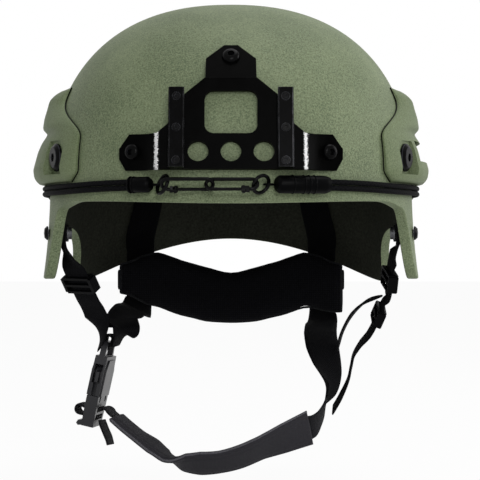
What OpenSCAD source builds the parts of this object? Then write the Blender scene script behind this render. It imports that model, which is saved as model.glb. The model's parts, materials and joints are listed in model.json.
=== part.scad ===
// Combat helmet: moulded shell with ear flaps, night-vision mounting plate, accessory rails, hooked elastic cords,
// pad suspension and a four-point chin strap with a side-release buckle.
// Frame: +Z up, the front faces -Y, +X is the wearer's left. The origin is on the symmetry plane, where the head
// carries the helmet, level with the lower ends of the ear flaps.

/* [Shell] */
// Width of the shell at its equator
shell_w = 237; // [225:1:250]
// Length of the shell, front to back
shell_l = 280; // [268:1:292]
// Height of the crown above the ear flaps
shell_h = 178.5; // [172:0.5:188]
// Wall thickness
shell_t = 7; // [6:0.5:8]
// Height of the widest level
equator_z = 60; // [56:1:64]
// Height of the front brim's edge
brim_z = 46.5; // [44:0.5:50]
// Height of the nape's edge
nape_z = 26; // [20:0.5:30]
// Height of the ear arches
arch_h = 36; // [28:1:38]
// How far the brim flares outwards
brim_flare = 3; // [1:0.5:4]

/* [Mounting plate] */
// Thickness of the plate
plate_t = 3; // [2.5:0.1:3.5]
// Backward tilt of the plate's lower part
plate_tilt = 12; // [10:0.5:13]
// Backward tilt of the plate's top tab
tab_tilt = 38; // [35:0.5:39]
// Width of the window
window_w = 31; // [26:0.5:32]
// Height of the window
window_h = 26; // [20:0.5:27]
// Radius of the three accessory holes
hole_r = 6.1; // [4:0.1:6.5]
// Spacing of the accessory holes
hole_pitch = 19.3; // [17:0.1:20]
// Distance of the dovetail bars from the middle
bar_x = 32; // [31:0.5:34]
// Width of a dovetail bar
bar_w = 9.2; // [8:0.1:10]
// How far a bar stands out of the plate
bar_d = 6; // [4:0.5:7]
// Length of a dovetail bar
bar_l = 48; // [42:1:52]
// Diameter of the plate screws
screw_d = 5; // [4:0.5:5.5]

/* [Side rails] */
// How far a rail stands out of the shell
rail_d = 11; // [9.5:0.5:12]
// Height of the rail's lower edge
rail_low = 60.5; // [60:0.5:63]
// Height of the rail's upper edge
rail_high = 122; // [118:1:124]
// Height of the accessory slot's lower side
slot_low = 71; // [69:0.5:74]
// Height of the accessory slot
slot_h = 19; // [16:0.5:20]
// Side of the bolt recess
recess_w = 21; // [19:0.5:23]
// Diameter of the rail bolts' heads
rail_head_d = 17.4; // [13:0.1:18]

/* [Straps] */
// Width of the chin strap's webbing
strap_w = 20; // [18:0.5:20]
// Width of the rear webbing
rear_w = 23; // [20:0.5:25]
// Thickness of the webbing
web_t = 1.6; // [1.2:0.1:1.8]
// Thickness of the nape pad
nape_t = 12; // [8:0.5:13]
// Width of the chin cup
cup_w = 30; // [26:0.5:34]
// Thickness of the chin cup's padding
cup_t = 5; // [4:0.5:6]
// Diameter of the strap bolts' heads
bolt_head_d = 9; // [8:0.5:11]

/* [Buckle] */
// Width of the buckle's housing
buckle_w = 33; // [31:0.5:36]
// Thickness of the buckle's housing
buckle_t = 10; // [9:0.5:11]
// Length of the buckle's housing
buckle_l = 36; // [34:1:42]
// Travel of the plug out of the housing
plug_travel = 26; // [20:1:28]
// Clearance of the moving pieces
clearance = 0.3; // [0.2:0.05:0.4]

/* [Elastic cords] */
// Diameter of one elastic strand
cord_d = 3.3; // [2.6:0.1:3.4]
// Height of the hooks across the brow
hook_z = 57.5; // [56:0.5:58]
// Thickness of the hooks' wire
wire_d = 1.8; // [1.5:0.1:2]

/* [Pads] */
// Thickness of the suspension pads
pad_t = 19; // [12:1:22]
// Thickness of the hook-and-loop discs
disc_t = 1.2; // [0.8:0.1:1.6]

/* [Hidden] */
$fn = 48;
shell_green = "#6f7a5d";
rail_green = "#67705a";
metal_black = "#17181a";
webbing_black = "#141416";
pad_black = "#202124";
buckle_grey = "#2c2d2f";
foam_grey = "#3a3c38";

// Curves of the shell
dome_exp = 2.35;
plan_exp = 2.2;
flap_flare = 4.6;
front_step = 7.1;
temple_start = 45;
temple_rise = 2;
flap_front = 57;
flap_turn = 72;
arch_start = 86;
arch_end = 120.5;
lobe_z = -4;
arch_steps = 10;
dome_rows = 11;
skirt_rows = 4;
half_azimuths = concat(
    [for (i = [0:6]) i * front_step],
    [47, 51.5, 55, 57.5, 59.5, 61, 62.5, 64, 65.5, 67.5, 70, 73, 79],
    [for (i = [0:arch_steps]) arch_mid() - arch_half() * cos(180 * i / arch_steps)],
    [for (i = [1:8]) arch_end + i * (180 - arch_end) / 8]
);
azimuths = concat(half_azimuths, [for (i = [len(half_azimuths) - 2:-1:1]) -half_azimuths[i]]);

// Plain helpers
function spow(v, p) = sign(v) * pow(abs(v), p);
function unit(v) = v / norm(v);
function smooth(u) = let (c = min(1, max(0, u))) c * c * (3 - 2 * c);
function mix(a, b, u) = a + (b - a) * u;
function arch_mid() = (arch_start + arch_end) / 2;
function arch_half() = (arch_end - arch_start) / 2;

// Height of the shell's edge at an azimuth, where 0 is the front and 180 the nape
function edge_z(az) = let (a = abs(az))
    a < arch_start ? let (brow = brim_z + temple_rise * smooth(a / temple_start) - 4 * smooth((a - temple_start) / 14))
        mix(brow, 0, smooth((a - flap_front) / (flap_turn - flap_front)))
    : a < arch_end ? let (u = (a - arch_mid()) / arch_half())
        mix(0, lobe_z, (u + 1) / 2) + arch_h * pow(max(0, 1 - pow(u, 4)), 1 / 4)
    : mix(lobe_z, nape_z, smooth(pow((a - arch_end) / (180 - arch_end), 0.88)));

// Share of the full plan size at a height above the equator
function dome_share(z) = pow(max(0, 1 - pow(max(0, (z - equator_z) / (shell_h - equator_z)), dome_exp)), 1 / dome_exp);
function flare(az, z) = flap_flare * pow(max(0, 1 - z / equator_z) * sin(az), 2)
    + brim_flare * pow(max(0, cos(az)) * min(1, max(0, (brim_z + 12 - z) / 12)), 2);
// Point of the plan's superellipse with half sizes a and b at an azimuth
function plan_pt(az, a, b) =
    let (r = pow(pow(abs(sin(az)) / a, plan_exp) + pow(abs(cos(az)) / b, plan_exp), -1 / plan_exp))
    [r * sin(az), -r * cos(az)];
// Point of the outer surface at an azimuth and a height, moved outwards by off
function shell_pt(az, z, off = 0) =
    let (s = dome_share(z), f = flare(az, z) + off, p = plan_pt(az, shell_w / 2 * s + f, shell_l / 2 * s + f))
    [p[0], p[1], z];
// Point of a surface that lies a depth inside the dome, by azimuth and elevation
function dome_pt(az, el, depth) =
    let (s = pow(cos(el), 2 / dome_exp), p = plan_pt(az, (shell_w / 2 - depth) * s + 0.001, (shell_l / 2 - depth) * s + 0.001))
    [p[0], p[1], equator_z + (shell_h - equator_z - depth) * pow(sin(el), 2 / dome_exp)];
// Direction of the outward normal, as the turn about Z that carries -Y to it
function normal_turn(az, z) =
    let (d = shell_pt(az + 0.5, z) - shell_pt(az - 0.5, z)) atan2(d[1], d[0]);
// Places children with their own -Y pointing straight out of the shell
module on_shell(az, z, off = 0) {
    turn = normal_turn(az, z);
    translate(shell_pt(az, z) + off * [sin(turn), -cos(turn), 0]) rotate([0, 0, turn]) children();
}
// Cylinder along Y, from y0 to y1
module y_rod(d, y0, y1) {
    translate([0, y0, 0]) rotate([-90, 0, 0]) cylinder(d = d, h = y1 - y0);
}
// Cylinder along X, from x0 to x1
module x_rod(d, x0, x1) {
    translate([x0, 0, 0]) rotate([0, 90, 0]) cylinder(d = d, h = x1 - x0);
}

// Closed solid between two grids of points that face each other
module slab(a, b) {
    rows = len(a);
    cols = len(a[0]);
    i0 = floor((rows - 1) / 2);
    j0 = floor((cols - 1) / 2);
    outward = cross(a[i0 + 1][j0] - a[i0][j0], a[i0][j0 + 1] - a[i0][j0]) * (a[i0][j0] - b[i0][j0]) > 0;
    back = rows * cols;
    front_faces = [for (i = [0:rows - 2], j = [0:cols - 2], k = [0, 1]) let (p = i * cols + j)
        k == 0 ? [p, p + 1, p + cols + 1] : [p, p + cols + 1, p + cols]];
    back_faces = [for (f = front_faces) [for (k = [2:-1:0]) f[k] + back]];
    ring = concat([for (j = [0:cols - 2]) j], [for (i = [0:rows - 2]) i * cols + cols - 1],
        [for (j = [cols - 1:-1:1]) (rows - 1) * cols + j], [for (i = [rows - 1:-1:1]) i * cols]);
    n = len(ring);
    wall_faces = [for (k = [0:n - 1], h = [0, 1]) let (p = ring[k], q = ring[(k + 1) % n])
        h == 0 ? [p, p + back, q + back] : [p, q + back, q]];
    faces = concat(front_faces, back_faces, wall_faces);
    polyhedron([for (r = a) each r, for (r = b) each r],
        outward ? faces : [for (f = faces) [f[2], f[1], f[0]]], convexity = 6);
}
// Direction of a polyline at its point i
function tangent(path, i) = unit(path[min(i + 1, len(path) - 1)] - path[max(i - 1, 0)]);
// Flat webbing along a route, whose rows hold a point and the direction of its width
module webbing(route, w, t = web_t) {
    path = [for (r = route) r[0]];
    side = [for (i = [0:len(route) - 1]) let (d = tangent(path, i), s = route[i][1]) unit(s - (s * d) * d)];
    face = [for (i = [0:len(route) - 1]) cross(tangent(path, i), side[i])];
    slab(
        [for (i = [0:len(path) - 1]) [for (k = [-1, 1]) path[i] + k * side[i] * w / 2 + face[i] * t / 2]],
        [for (i = [0:len(path) - 1]) [for (k = [-1, 1]) path[i] + k * side[i] * w / 2 - face[i] * t / 2]]
    );
}
// Round cord along a list of points
module cord(points, d, sides = 8) {
    n = len(points);
    rings = [for (i = [0:n - 1]) let (t = tangent(points, i), u = unit(cross([0, 0, 1], t)), v = cross(t, u))
        [for (k = [0:sides - 1]) points[i] + d / 2 * (cos(360 * k / sides) * u + sin(360 * k / sides) * v)]];
    walls = [for (i = [0:n - 2], k = [0:sides - 1], h = [0, 1])
        let (p = i * sides + k, q = i * sides + (k + 1) % sides)
        h == 0 ? [p, p + sides, q + sides] : [p, q + sides, q]];
    caps = concat([for (k = [1:sides - 2]) [0, k, k + 1]],
        [for (k = [1:sides - 2]) [(n - 1) * sides, (n - 1) * sides + k + 1, (n - 1) * sides + k]]);
    polyhedron([for (r = rings) each r], concat(walls, caps), convexity = 6);
}

// Heights of one meridian of the shell, from below the crown to the edge
function row_el(i) = 90 - 90 * i / dome_rows;
function shell_row(az, i, depth) = i <= dome_rows ? dome_pt(az, row_el(i), depth)
    : let (z = mix(equator_z, edge_z(az), (i - dome_rows) / skirt_rows)) shell_pt(az, z, -depth);
module shell_form() {
    m = len(azimuths);
    last = dome_rows + skirt_rows;
    points = concat(
        [dome_pt(0, 90, 0)], [for (i = [1:last]) each [for (a = azimuths) shell_row(a, i, 0)]],
        [dome_pt(0, 90, shell_t)], [for (i = [1:last]) each [for (a = azimuths) shell_row(a, i, shell_t)]]
    );
    inner = 1 + last * m;
    cap = [for (k = [0:m - 1]) [0, 1 + (k + 1) % m, 1 + k]];
    skin = [for (i = [0:last - 2], k = [0:m - 1], h = [0, 1])
        let (p = 1 + i * m + k, q = 1 + i * m + (k + 1) % m) h == 0 ? [p, q + m, p + m] : [p, q, q + m]];
    outer_faces = concat(cap, skin);
    inner_faces = [for (f = outer_faces) [f[2] + inner, f[1] + inner, f[0] + inner]];
    rim = [for (k = [0:m - 1], h = [0, 1])
        let (p = 1 + (last - 1) * m + k, q = 1 + (last - 1) * m + (k + 1) % m)
        h == 0 ? [p, q + inner, p + inner] : [p, q, q + inner]];
    polyhedron(points, concat(outer_faces, inner_faces, rim), convexity = 10);
}

// Places of the fasteners, as azimuth and height on the shell
flap_bolt = [70.5, 29.4];
nape_bolt = [152, 63];
ear_screw = [24.2, 77];
tab_screw_z = 134;
rail_front_bolt = [54.7, 76.2];
rail_rear_bolt = [111, 80.5];
bolt_d = 5;

module four_bolts() {
    for (side = [-1, 1], b = [flap_bolt, nape_bolt]) on_shell(side * b[0], b[1]) children();
}
module four_rail_bolts() {
    for (side = [-1, 1], b = [rail_front_bolt, rail_rear_bolt]) on_shell(side * b[0], b[1]) children();
}

module shell() color(shell_green) difference() {
    shell_form();
    four_bolts() y_rod(bolt_d + 0.4, -10, shell_t + 10);
    four_rail_bolts() y_rod(bolt_d + 0.4, -10, shell_t + 10);
    for (side = [-1, 1]) on_shell(side * ear_screw[0], ear_screw[1]) y_rod(screw_d + 0.4, -10, shell_t + 10);
    at_tab() translate([0, 0, tab_screw_v()]) y_rod(screw_d + 0.4, -8, shell_t + 22);
}

// Night-vision mounting plate, in its own frames: X across, Z up along the plate, front face at Y = 0
plate_z = 77;
plate_stand = 0;
plate_low = -10.7;
ear_top = 11.3;
ear_x = 43.3;
bend_v = 45;
tab_top = 26;
// How far the plate's back comes forward at a height, above its lower bend and then above its upper one
function plate_back(z) = let (bend_z = plate_z + bend_v * cos(plate_tilt))
    (min(z, bend_z) - plate_z) * tan(plate_tilt) + max(0, z - bend_z) * tan(tab_tilt);
// The plate is rigid, so it rests on the spot of the shell that stands out most towards it
function plate_front_y() =
    min([for (k = [0:38]) let (z = plate_z + plate_low + 2 * k) shell_pt(0, z)[1] - plate_back(z)]) - plate_stand - plate_t;
module at_plate() {
    translate([0, plate_front_y(), plate_z]) rotate([-plate_tilt, 0, 0]) children();
}
module at_tab() {
    at_plate() translate([0, 0, bend_v]) rotate([plate_tilt - tab_tilt, 0, 0]) children();
}
function tab_screw_v() = (tab_screw_z - plate_z - bend_v * cos(plate_tilt)) / cos(tab_tilt);
function mirrored(points) = concat(points, [for (i = [len(points) - 1:-1:0]) [-points[i][0], points[i][1]]]);
module flat_plate(points) {
    translate([0, plate_t, 0]) rotate([90, 0, 0]) linear_extrude(plate_t) polygon(points);
}
module rounded_window(w, h, r) {
    square([w - 2 * r, h], center = true);
    square([w, h - 2 * r], center = true);
    for (x = [-1, 1], y = [-1, 1]) translate([x * (w / 2 - r), y * (h / 2 - r)]) circle(r);
}
// Flat of the plate's ear, lying on the shell
ear_pad = [[-9, -11], [5, -11], [9.5, -4], [9.5, 2], [2.5, 10.5], [-9, 10.5]];
module ear_flat(side, outline, inset = 0) {
    on_shell(side * ear_screw[0], ear_screw[1], clearance + plate_t) mirror([side < 0 ? 1 : 0, 0, 0])
        translate([0, plate_t - inset, 0]) rotate([90, 0, 0]) linear_extrude(plate_t - 2 * inset) polygon(outline);
}
bar_holes = [-7, 12.8, 31.7];
module bar_hole_places(side) {
    for (v = bar_holes) at_plate() translate([side * bar_x, 0, v]) children();
}
module mounting_plate() color(metal_black) difference() {
    union() {
        at_plate() flat_plate(mirrored([[ear_x, plate_low], [ear_x, ear_top], [37, 16.8], [27.4, 34.6], [15.1, bend_v]]));
        at_tab() flat_plate(mirrored([[15.1, -0.8], [14.9, 15], [4.1, tab_top]]));
        at_tab() translate([0, 0, tab_screw_v()]) y_rod(11, plate_t - 0.5, plate_t + 0.4);
        for (side = [-1, 1]) {
            hull() {
                at_plate() translate([side * (ear_x - 1.3) - 1, 0.1, plate_low + 0.1])
                    cube([2, plate_t - 0.2, ear_top - plate_low - 0.3]);
                ear_flat(side, [[-8.8, -10.8], [-7, -10.8], [-7, 10.3], [-8.8, 10.3]], 0.1);
            }
            ear_flat(side, ear_pad);
        }
    }
    at_plate() translate([0, plate_t + 1, 23.8]) rotate([90, 0, 0]) linear_extrude(plate_t + 2)
        rounded_window(window_w, window_h, 5.3);
    for (k = [-1:1]) at_plate() translate([k * hole_pitch, 0, 0]) y_rod(2 * hole_r, -1, plate_t + 1);
    for (side = [-1, 1]) {
        bar_hole_places(side) y_rod(3, -1, plate_t + 1);
        on_shell(side * ear_screw[0], ear_screw[1]) y_rod(screw_d + 0.2, -25, 3);
    }
    at_tab() translate([0, 0, tab_screw_v()]) y_rod(screw_d + 0.2, -1, plate_t + 4);
}
// Dovetail bar: narrower at the plate than at its outer face
module dovetail_bar(side) color(metal_black) difference() {
    at_plate() translate([side * bar_x, 0, plate_low]) linear_extrude(bar_l)
        polygon([[-bar_w / 2 + 1.6, 0], [bar_w / 2 - 1.6, 0], [bar_w / 2, -2.6], [bar_w / 2, -bar_d + 0.6],
            [bar_w / 2 - 0.6, -bar_d], [-bar_w / 2 + 0.6, -bar_d], [-bar_w / 2, -bar_d + 0.6], [-bar_w / 2, -2.6]]);
    bar_hole_places(side) {
        y_rod(3, -bar_d - 1, 1);
        y_rod(5, -bar_d - 1, -bar_d + 1.2);
    }
}
module dovetail_bar_right() dovetail_bar(-1);
module dovetail_bar_left() dovetail_bar(1);
module dovetail_screws() color("#2a2b2e") for (side = [-1, 1]) bar_hole_places(side) difference() {
    union() {
        y_rod(4.7, -bar_d - 0.3, -bar_d + 1.2);
        y_rod(2.8, -bar_d + 1.1, plate_t);
    }
    y_rod(2, -bar_d - 1, -bar_d + 0.4);
}
// Button-head screw whose seat is at Y = 0 and whose shank runs to Y = reach
module button_screw(head, shank, reach) difference() {
    union() {
        rotate([90, 0, 0]) rotate_extrude() polygon(concat([[0, 0]],
            [for (a = [0:15:75]) [head / 2 * cos(a * 0.9), 0.3 * head * sin(a * 1.2)]], [[0, 0.3 * head]]));
        y_rod(shank, -0.5, reach);
    }
    translate([0, -0.3 * head - 1, 0]) rotate([-90, 0, 0]) cylinder(d = head * 0.42, h = 0.2 * head + 1, $fn = 6);
}
// Flanged nut against the inner wall, with its bore along Y from the flange at y0
module flange_nut(d, y0) difference() {
    union() {
        y_rod(2.2 * d, y0, y0 + 1.5);
        y_rod(1.6 * d, y0 + 1, y0 + 3.5);
    }
    y_rod(d + 0.1, y0 - 1, y0 + 5);
}
wall_out = 0.7;
dome_out = 1.25;
tab_nut_out = 2;
// Where the tab screw's axis is, as Y and Z, a distance behind the tab's front face
function tab_axis(t) = [plate_front_y() + bend_v * sin(plate_tilt) + tab_screw_v() * sin(tab_tilt) + t * cos(tab_tilt),
    tab_screw_z - t * sin(tab_tilt)];
function in_dome(p, depth) = pow(abs(p[0]) / (shell_l / 2 - depth), dome_exp)
    + pow((p[1] - equator_z) / (shell_h - equator_z - depth), dome_exp) < 1;
// Length of the axis from the tab's front face to the shell's inner side
function tab_reach(t = 0) = in_dome(tab_axis(t), shell_t) ? t : tab_reach(t + 0.1);
module plate_screws() color("#232427") {
    for (side = [-1, 1]) on_shell(side * ear_screw[0], ear_screw[1], clearance + plate_t)
        button_screw(10, screw_d, clearance + plate_t + shell_t + wall_out + 3.5);
    at_tab() translate([0, 0, tab_screw_v()]) button_screw(10.8, screw_d, tab_reach() + tab_nut_out + 3.5);
}
module plate_nuts() color("#3b3c3e") {
    for (side = [-1, 1]) on_shell(side * ear_screw[0], ear_screw[1]) flange_nut(screw_d, shell_t + dome_out);
    at_tab() translate([0, 0, tab_screw_v()]) flange_nut(screw_d, tab_reach() + tab_nut_out);
}

// Strap bolts through the flaps and the nape, with their posts inside
module strap_bolts() color(metal_black) four_bolts() {
    rotate([90, 0, 0]) rotate_extrude() polygon([[0, 0.9], [bolt_head_d / 2, 0.9], [bolt_head_d / 2, 1.7],
        [bolt_head_d / 2 - 1.5, 3.2], [0, 3.6]]);
    y_rod(bolt_d, -0.5, shell_t + 6);
}
strap_depth = shell_t + wall_out + 0.9 + web_t / 2;
module strap_nuts() color(metal_black) four_bolts() flange_nut(bolt_d, strap_depth + web_t / 2 + 0.4);
// Point a depth inside the shell beside a bolt, moved along the wall by x and up by z
function bolt_pt(side, b, z, x = 0) =
    let (turn = normal_turn(side * b[0], b[1]))
    shell_pt(side * b[0], b[1]) - strap_depth * [sin(turn), -cos(turn), 0] + [x * cos(turn), x * sin(turn), z];
function bolt_side(side, b) = let (turn = normal_turn(side * b[0], b[1])) side * [cos(turn), sin(turn), 0];

// Side rail: a moulded strip that follows the shell, with a recess for its front bolt and a slot along it
cord_stop = 101;
rail_start = 44.9;
rail_stop = 119;
rail_gap = 0.45;
// Rows of the rail's section: height, how far it stands out, and how much of the groove is filled at the front
rail_profile = [[rail_low, 2.2, 0], [rail_low + 0.8, 7.6, 0], [rail_low + 4, rail_d - 0.8, 0], [rail_low + 9.5, rail_d + 0.2, 0],
    [rail_low + 15.5, rail_d - 1.1, 0], [slot_low + slot_h / 2 + 1, rail_d - 2.1, 0], [slot_low + slot_h - 2.5, rail_d - 4, 0.5],
    [slot_low + slot_h + 2, rail_d - 6.4, 2.6], [slot_low + slot_h + 4, rail_d - 6.6, 3.2], [slot_low + slot_h + 6.5, rail_d - 3, 0.4],
    [rail_high - 19, rail_d - 2.3, 0], [rail_high - 13, rail_d - 2.3, 0], [rail_high - 7, rail_d - 1.8, 0],
    [rail_high - 3.5, rail_d - 3.8, 0], [rail_high - 1.2, rail_d - 6.5, 0], [rail_high, 1.2, 0]];
rail_azimuths = concat([rail_start, rail_start + 1, rail_start + 3],
    [for (i = [1:14]) mix(rail_start + 3, rail_stop - 4, i / 15)], [rail_stop - 4, rail_stop - 1.5, rail_stop]);
function rail_lean(z) = 20 * smooth((z - 88) / 27) + 4 * smooth((68 - z) / 10);
function rail_az(az, z) = let (u = (az - rail_start) / (rail_stop - rail_start)) az + mix(rail_lean(z), -rail_lean(z), u);
function rail_end(az) = min(1, 0.2 + 0.8 * pow((az - rail_start) / 18, 0.65), 0.35 + 0.65 * pow((rail_stop - az) / 4, 0.6));
function rail_off(az, p) = rail_gap + (p[1] + p[2] * (1 - smooth((az - 52) / 14)) - rail_gap) * rail_end(az);
// Curved block that follows the shell: inner and outer offsets at its lower and upper side, between two azimuths
module rail_skin(z, inner, outer, span, side) {
    stations = [for (i = [0:12]) mix(span[0], span[1], i / 12)];
    slab([for (a = stations) [for (k = [0, 1]) shell_pt(side * a, z[k], outer[k])]],
        [for (a = stations) [for (k = [0, 1]) shell_pt(side * a, z[k], inner[k])]]);
}
// Boss below the rail's rear end, where the elastic cords run in
boss_profile = [[51, 1.6], [52.6, 6.2], [60, 7], [rail_low + 3, 7.4]];
module rail(side) color(rail_green) difference() {
    union() {
        slab(
            [for (a = rail_azimuths) [for (p = rail_profile) shell_pt(side * rail_az(a, p[0]), p[0], rail_off(a, p))]],
            [for (a = rail_azimuths) [for (p = rail_profile) shell_pt(side * rail_az(a, p[0]), p[0], rail_gap)]]
        );
        slab(
            [for (a = [0:4]) [for (p = boss_profile)
                shell_pt(side * (cord_stop + 0.3 + 2.2 * a), p[0], p[1] - (a == 4 ? 1.1 : 0))]],
            [for (a = [0:4]) [for (p = boss_profile) shell_pt(side * (cord_stop + 0.3 + 2.2 * a), p[0], rail_gap + 0.2)]]
        );
    }
    rail_skin([slot_low + 1, slot_low + slot_h], [4.4, 1.4], [8.2, 4.4], [61.2, 104], side);
    rail_skin([slot_low + 3.5, slot_low + slot_h - 2.5], [6.8, 4], [rail_d + 3, rail_d + 3], [62.2, 104], side);
    on_shell(side * rail_front_bolt[0], rail_front_bolt[1]) translate([-recess_w / 2, -rail_d - 6, -10.5])
        cube([recess_w, rail_d + 2, 21]);
    on_shell(side * rail_rear_bolt[0], rail_rear_bolt[1]) y_rod(11, -rail_d - 6, -5);
    for (b = [rail_front_bolt, rail_rear_bolt]) on_shell(side * b[0], b[1]) y_rod(bolt_d + 0.2, -rail_d - 5, 3);
}
module rail_right() rail(-1);
module rail_left() rail(1);
module rail_bolts() color(metal_black) for (side = [-1, 1]) {
    on_shell(side * rail_front_bolt[0], rail_front_bolt[1], 4.1) {
        difference() {
            rotate([90, 0, 0]) rotate_extrude() polygon([[0, 0], [rail_head_d / 2, 0], [rail_head_d / 2, 1.6],
                [rail_head_d / 2 - 2.4, 3.6], [0, 3.6]]);
            translate([0, -4, 0]) rotate([-90, 0, 0]) cylinder(d = 5.5, h = 2.4, $fn = 6);
        }
        y_rod(bolt_d, -0.5, 4.1 + shell_t + wall_out + 4);
    }
    on_shell(side * rail_rear_bolt[0], rail_rear_bolt[1], 5.1) {
        y_rod(9.6, -3, 0);
        y_rod(bolt_d, -0.5, 5.1 + shell_t + wall_out + 4);
    }
}
module rail_nuts() color("#3b3c3e") four_rail_bolts() flange_nut(bolt_d, shell_t + dome_out);

// Suspension pads: crowned cushions that follow the dome, each on hook-and-loop discs
pad_cells = 8;
pad_air = 1;
function pad_swell(u, v) = mix(0.45, 1, sqrt((1 - pow(u, 6)) * (1 - pow(v, 6))));
pad_steps = [for (i = [0:pad_cells]) 2 * i / pad_cells - 1];
pad_base = shell_t + disc_t + pad_air;
function pin(u, v) = u * (1 - 0.06 * v * v * abs(u));
module dome_pad(az0, az1, el0, el1) {
    color(foam_grey) slab(
        [for (u = pad_steps) [for (v = pad_steps)
            dome_pt(mix(az0, az1, (1 + pin(u, v)) / 2), mix(el0, el1, (1 + pin(v, u)) / 2), pad_base)]],
        [for (u = pad_steps) [for (v = pad_steps)
            dome_pt(mix(az0, az1, (1 + pin(u, v)) / 2), mix(el0, el1, (1 + pin(v, u)) / 2),
                pad_base + pad_t * pad_swell(u, v))]]);
}
crown_pad_r = 52;
// Point under the crown, above a place in the plan, a depth inside the dome
function crown_pt(x, y, depth) =
    let (a = shell_w / 2 - depth, b = shell_l / 2 - depth,
        rho = pow(pow(abs(x) / a, plan_exp) + pow(abs(y) / b, plan_exp), 1 / plan_exp))
    [x, y, equator_z + (shell_h - equator_z - depth) * pow(1 - pow(rho, dome_exp), 1 / dome_exp)];
// Square grid place drawn in to a round outline
function round_u(u, v) = u * sqrt(1 - v * v / 2);
module crown_pad() color(foam_grey) slab(
    [for (u = pad_steps) [for (v = pad_steps)
        crown_pt(crown_pad_r * round_u(u, v), crown_pad_r * round_u(v, u), pad_base)]],
    [for (u = pad_steps) [for (v = pad_steps)
        crown_pt(crown_pad_r * round_u(u, v), crown_pad_r * round_u(v, u), pad_base + pad_t * pad_swell(u, v))]]);
// The front pad ends below the tab screw's nut
front_pad_top = 118.2;
function dome_el(z, depth) = asin(pow((z - equator_z) / (shell_h - equator_z - depth), dome_exp / 2));
module front_pad() dome_pad(-17.5, 17.5, 6, dome_el(front_pad_top, pad_base));
module rear_pad() dome_pad(153, 207, 5, 33);
module side_pad_front_right() dome_pad(-82, -40, 12, 42);
module side_pad_front_left() dome_pad(40, 82, 12, 42);
module side_pad_rear_right() dome_pad(-140, -98, 12, 42);
module side_pad_rear_left() dome_pad(98, 140, 12, 42);
disc_places = [[0, 18.5], [180, 19], [61, 27], [-61, 27], [119, 27], [-119, 27]];
disc_turn = 8.6;
disc_air = 0.6;
module pad_discs() color("#1f2120") {
    cells = [for (i = [0:4]) i / 2 - 1];
    for (p = disc_places) slab(
        [for (u = cells) [for (v = cells)
            dome_pt(p[0] + disc_turn * round_u(u, v), p[1] + disc_turn * round_u(v, u), shell_t + disc_air)]],
        [for (u = cells) [for (v = cells)
            dome_pt(p[0] + disc_turn * round_u(u, v), p[1] + disc_turn * round_u(v, u), shell_t + disc_air + disc_t)]]);
    slab([for (u = cells) [for (v = cells) crown_pt(26 * round_u(u, v), 26 * round_u(v, u), shell_t + disc_air)]],
        [for (u = cells) [for (v = cells)
            crown_pt(26 * round_u(u, v), 26 * round_u(v, u), shell_t + disc_air + disc_t)]]);
}

// Frame of the side-release buckle: X through its thickness, Y across, Z up to its top bar
buckle_at = [-80.5, -2, -42];
buckle_lean = 12.4;
buckle_twist = -8;
plug_half = buckle_t / 2 - 1;
loop_out = 3.5;
// Point given in the buckle's frame
function buckle_pt(x, y, z) =
    let (c = x * cos(buckle_twist) - y * sin(buckle_twist), s = x * sin(buckle_twist) + y * cos(buckle_twist))
    buckle_at + [c * cos(buckle_lean) + z * sin(buckle_lean), s, -c * sin(buckle_lean) + z * cos(buckle_lean)];
module at_buckle() {
    translate(buckle_at) rotate([0, buckle_lean, 0]) rotate([0, 0, buckle_twist]) children();
}

// Routes of the straps: each row is a point and the direction of the webbing's width
front_right_route = [[bolt_pt(-1, flap_bolt, 7), bolt_side(-1, flap_bolt)],
    [bolt_pt(-1, flap_bolt, -8), bolt_side(-1, flap_bolt)], [shell_pt(-70.7, 15, -13.6), [-0.3, 0.95, 0]],
    [shell_pt(-72, 7, -17.9), [-0.75, 0.62, 0]], [[-93.4, -22.6, -13.4], [-0.75, 0.62, 0]],
    [[-90.4, -18.5, -19], [-0.7, 0.7, 0]], [[-88, -14.5, -26.5], [-0.6, 0.77, 0.1]],
    [buckle_pt(-loop_out - 3.1, -8.5, 3.6), buckle_pt(0, 0.64, 0.77) - buckle_at],
    [buckle_pt(-loop_out - 1.2, -1.5, -1.2), buckle_pt(0, 0.64, 0.77) - buckle_at]];
front_left_route = [[bolt_pt(1, flap_bolt, 7), bolt_side(1, flap_bolt)],
    [bolt_pt(1, flap_bolt, -8), bolt_side(1, flap_bolt)], [shell_pt(71.2, 14, -13.9), [-0.25, 0.95, 0]],
    [shell_pt(72.5, 9, -16.2), [-0.12, 1, 0]], [[101.4, -26.5, -12], [-0.12, 1, 0]], [[99.2, -25, -15.5], [-0.1, 1, 0]],
    [[92.6, -20, -31.5], [-0.1, 1, 0]], [[89.6, -16.8, -36.8], [-0.1, 1, 0]], [[84.3, -12, -44], [-0.05, 1, 0]],
    [[80.8, -9, -50.5], [0.03, 1, 0]], [[79.1, -7, -58.5], [0.05, 1, 0]], [[77.4, -5, -67], [0.05, 1, 0.05]],
    [[72.6, -2, -78.5], [0, 1, 0.1]], [[67.5, 1, -88], [0, 1, 0.1]]];
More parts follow.
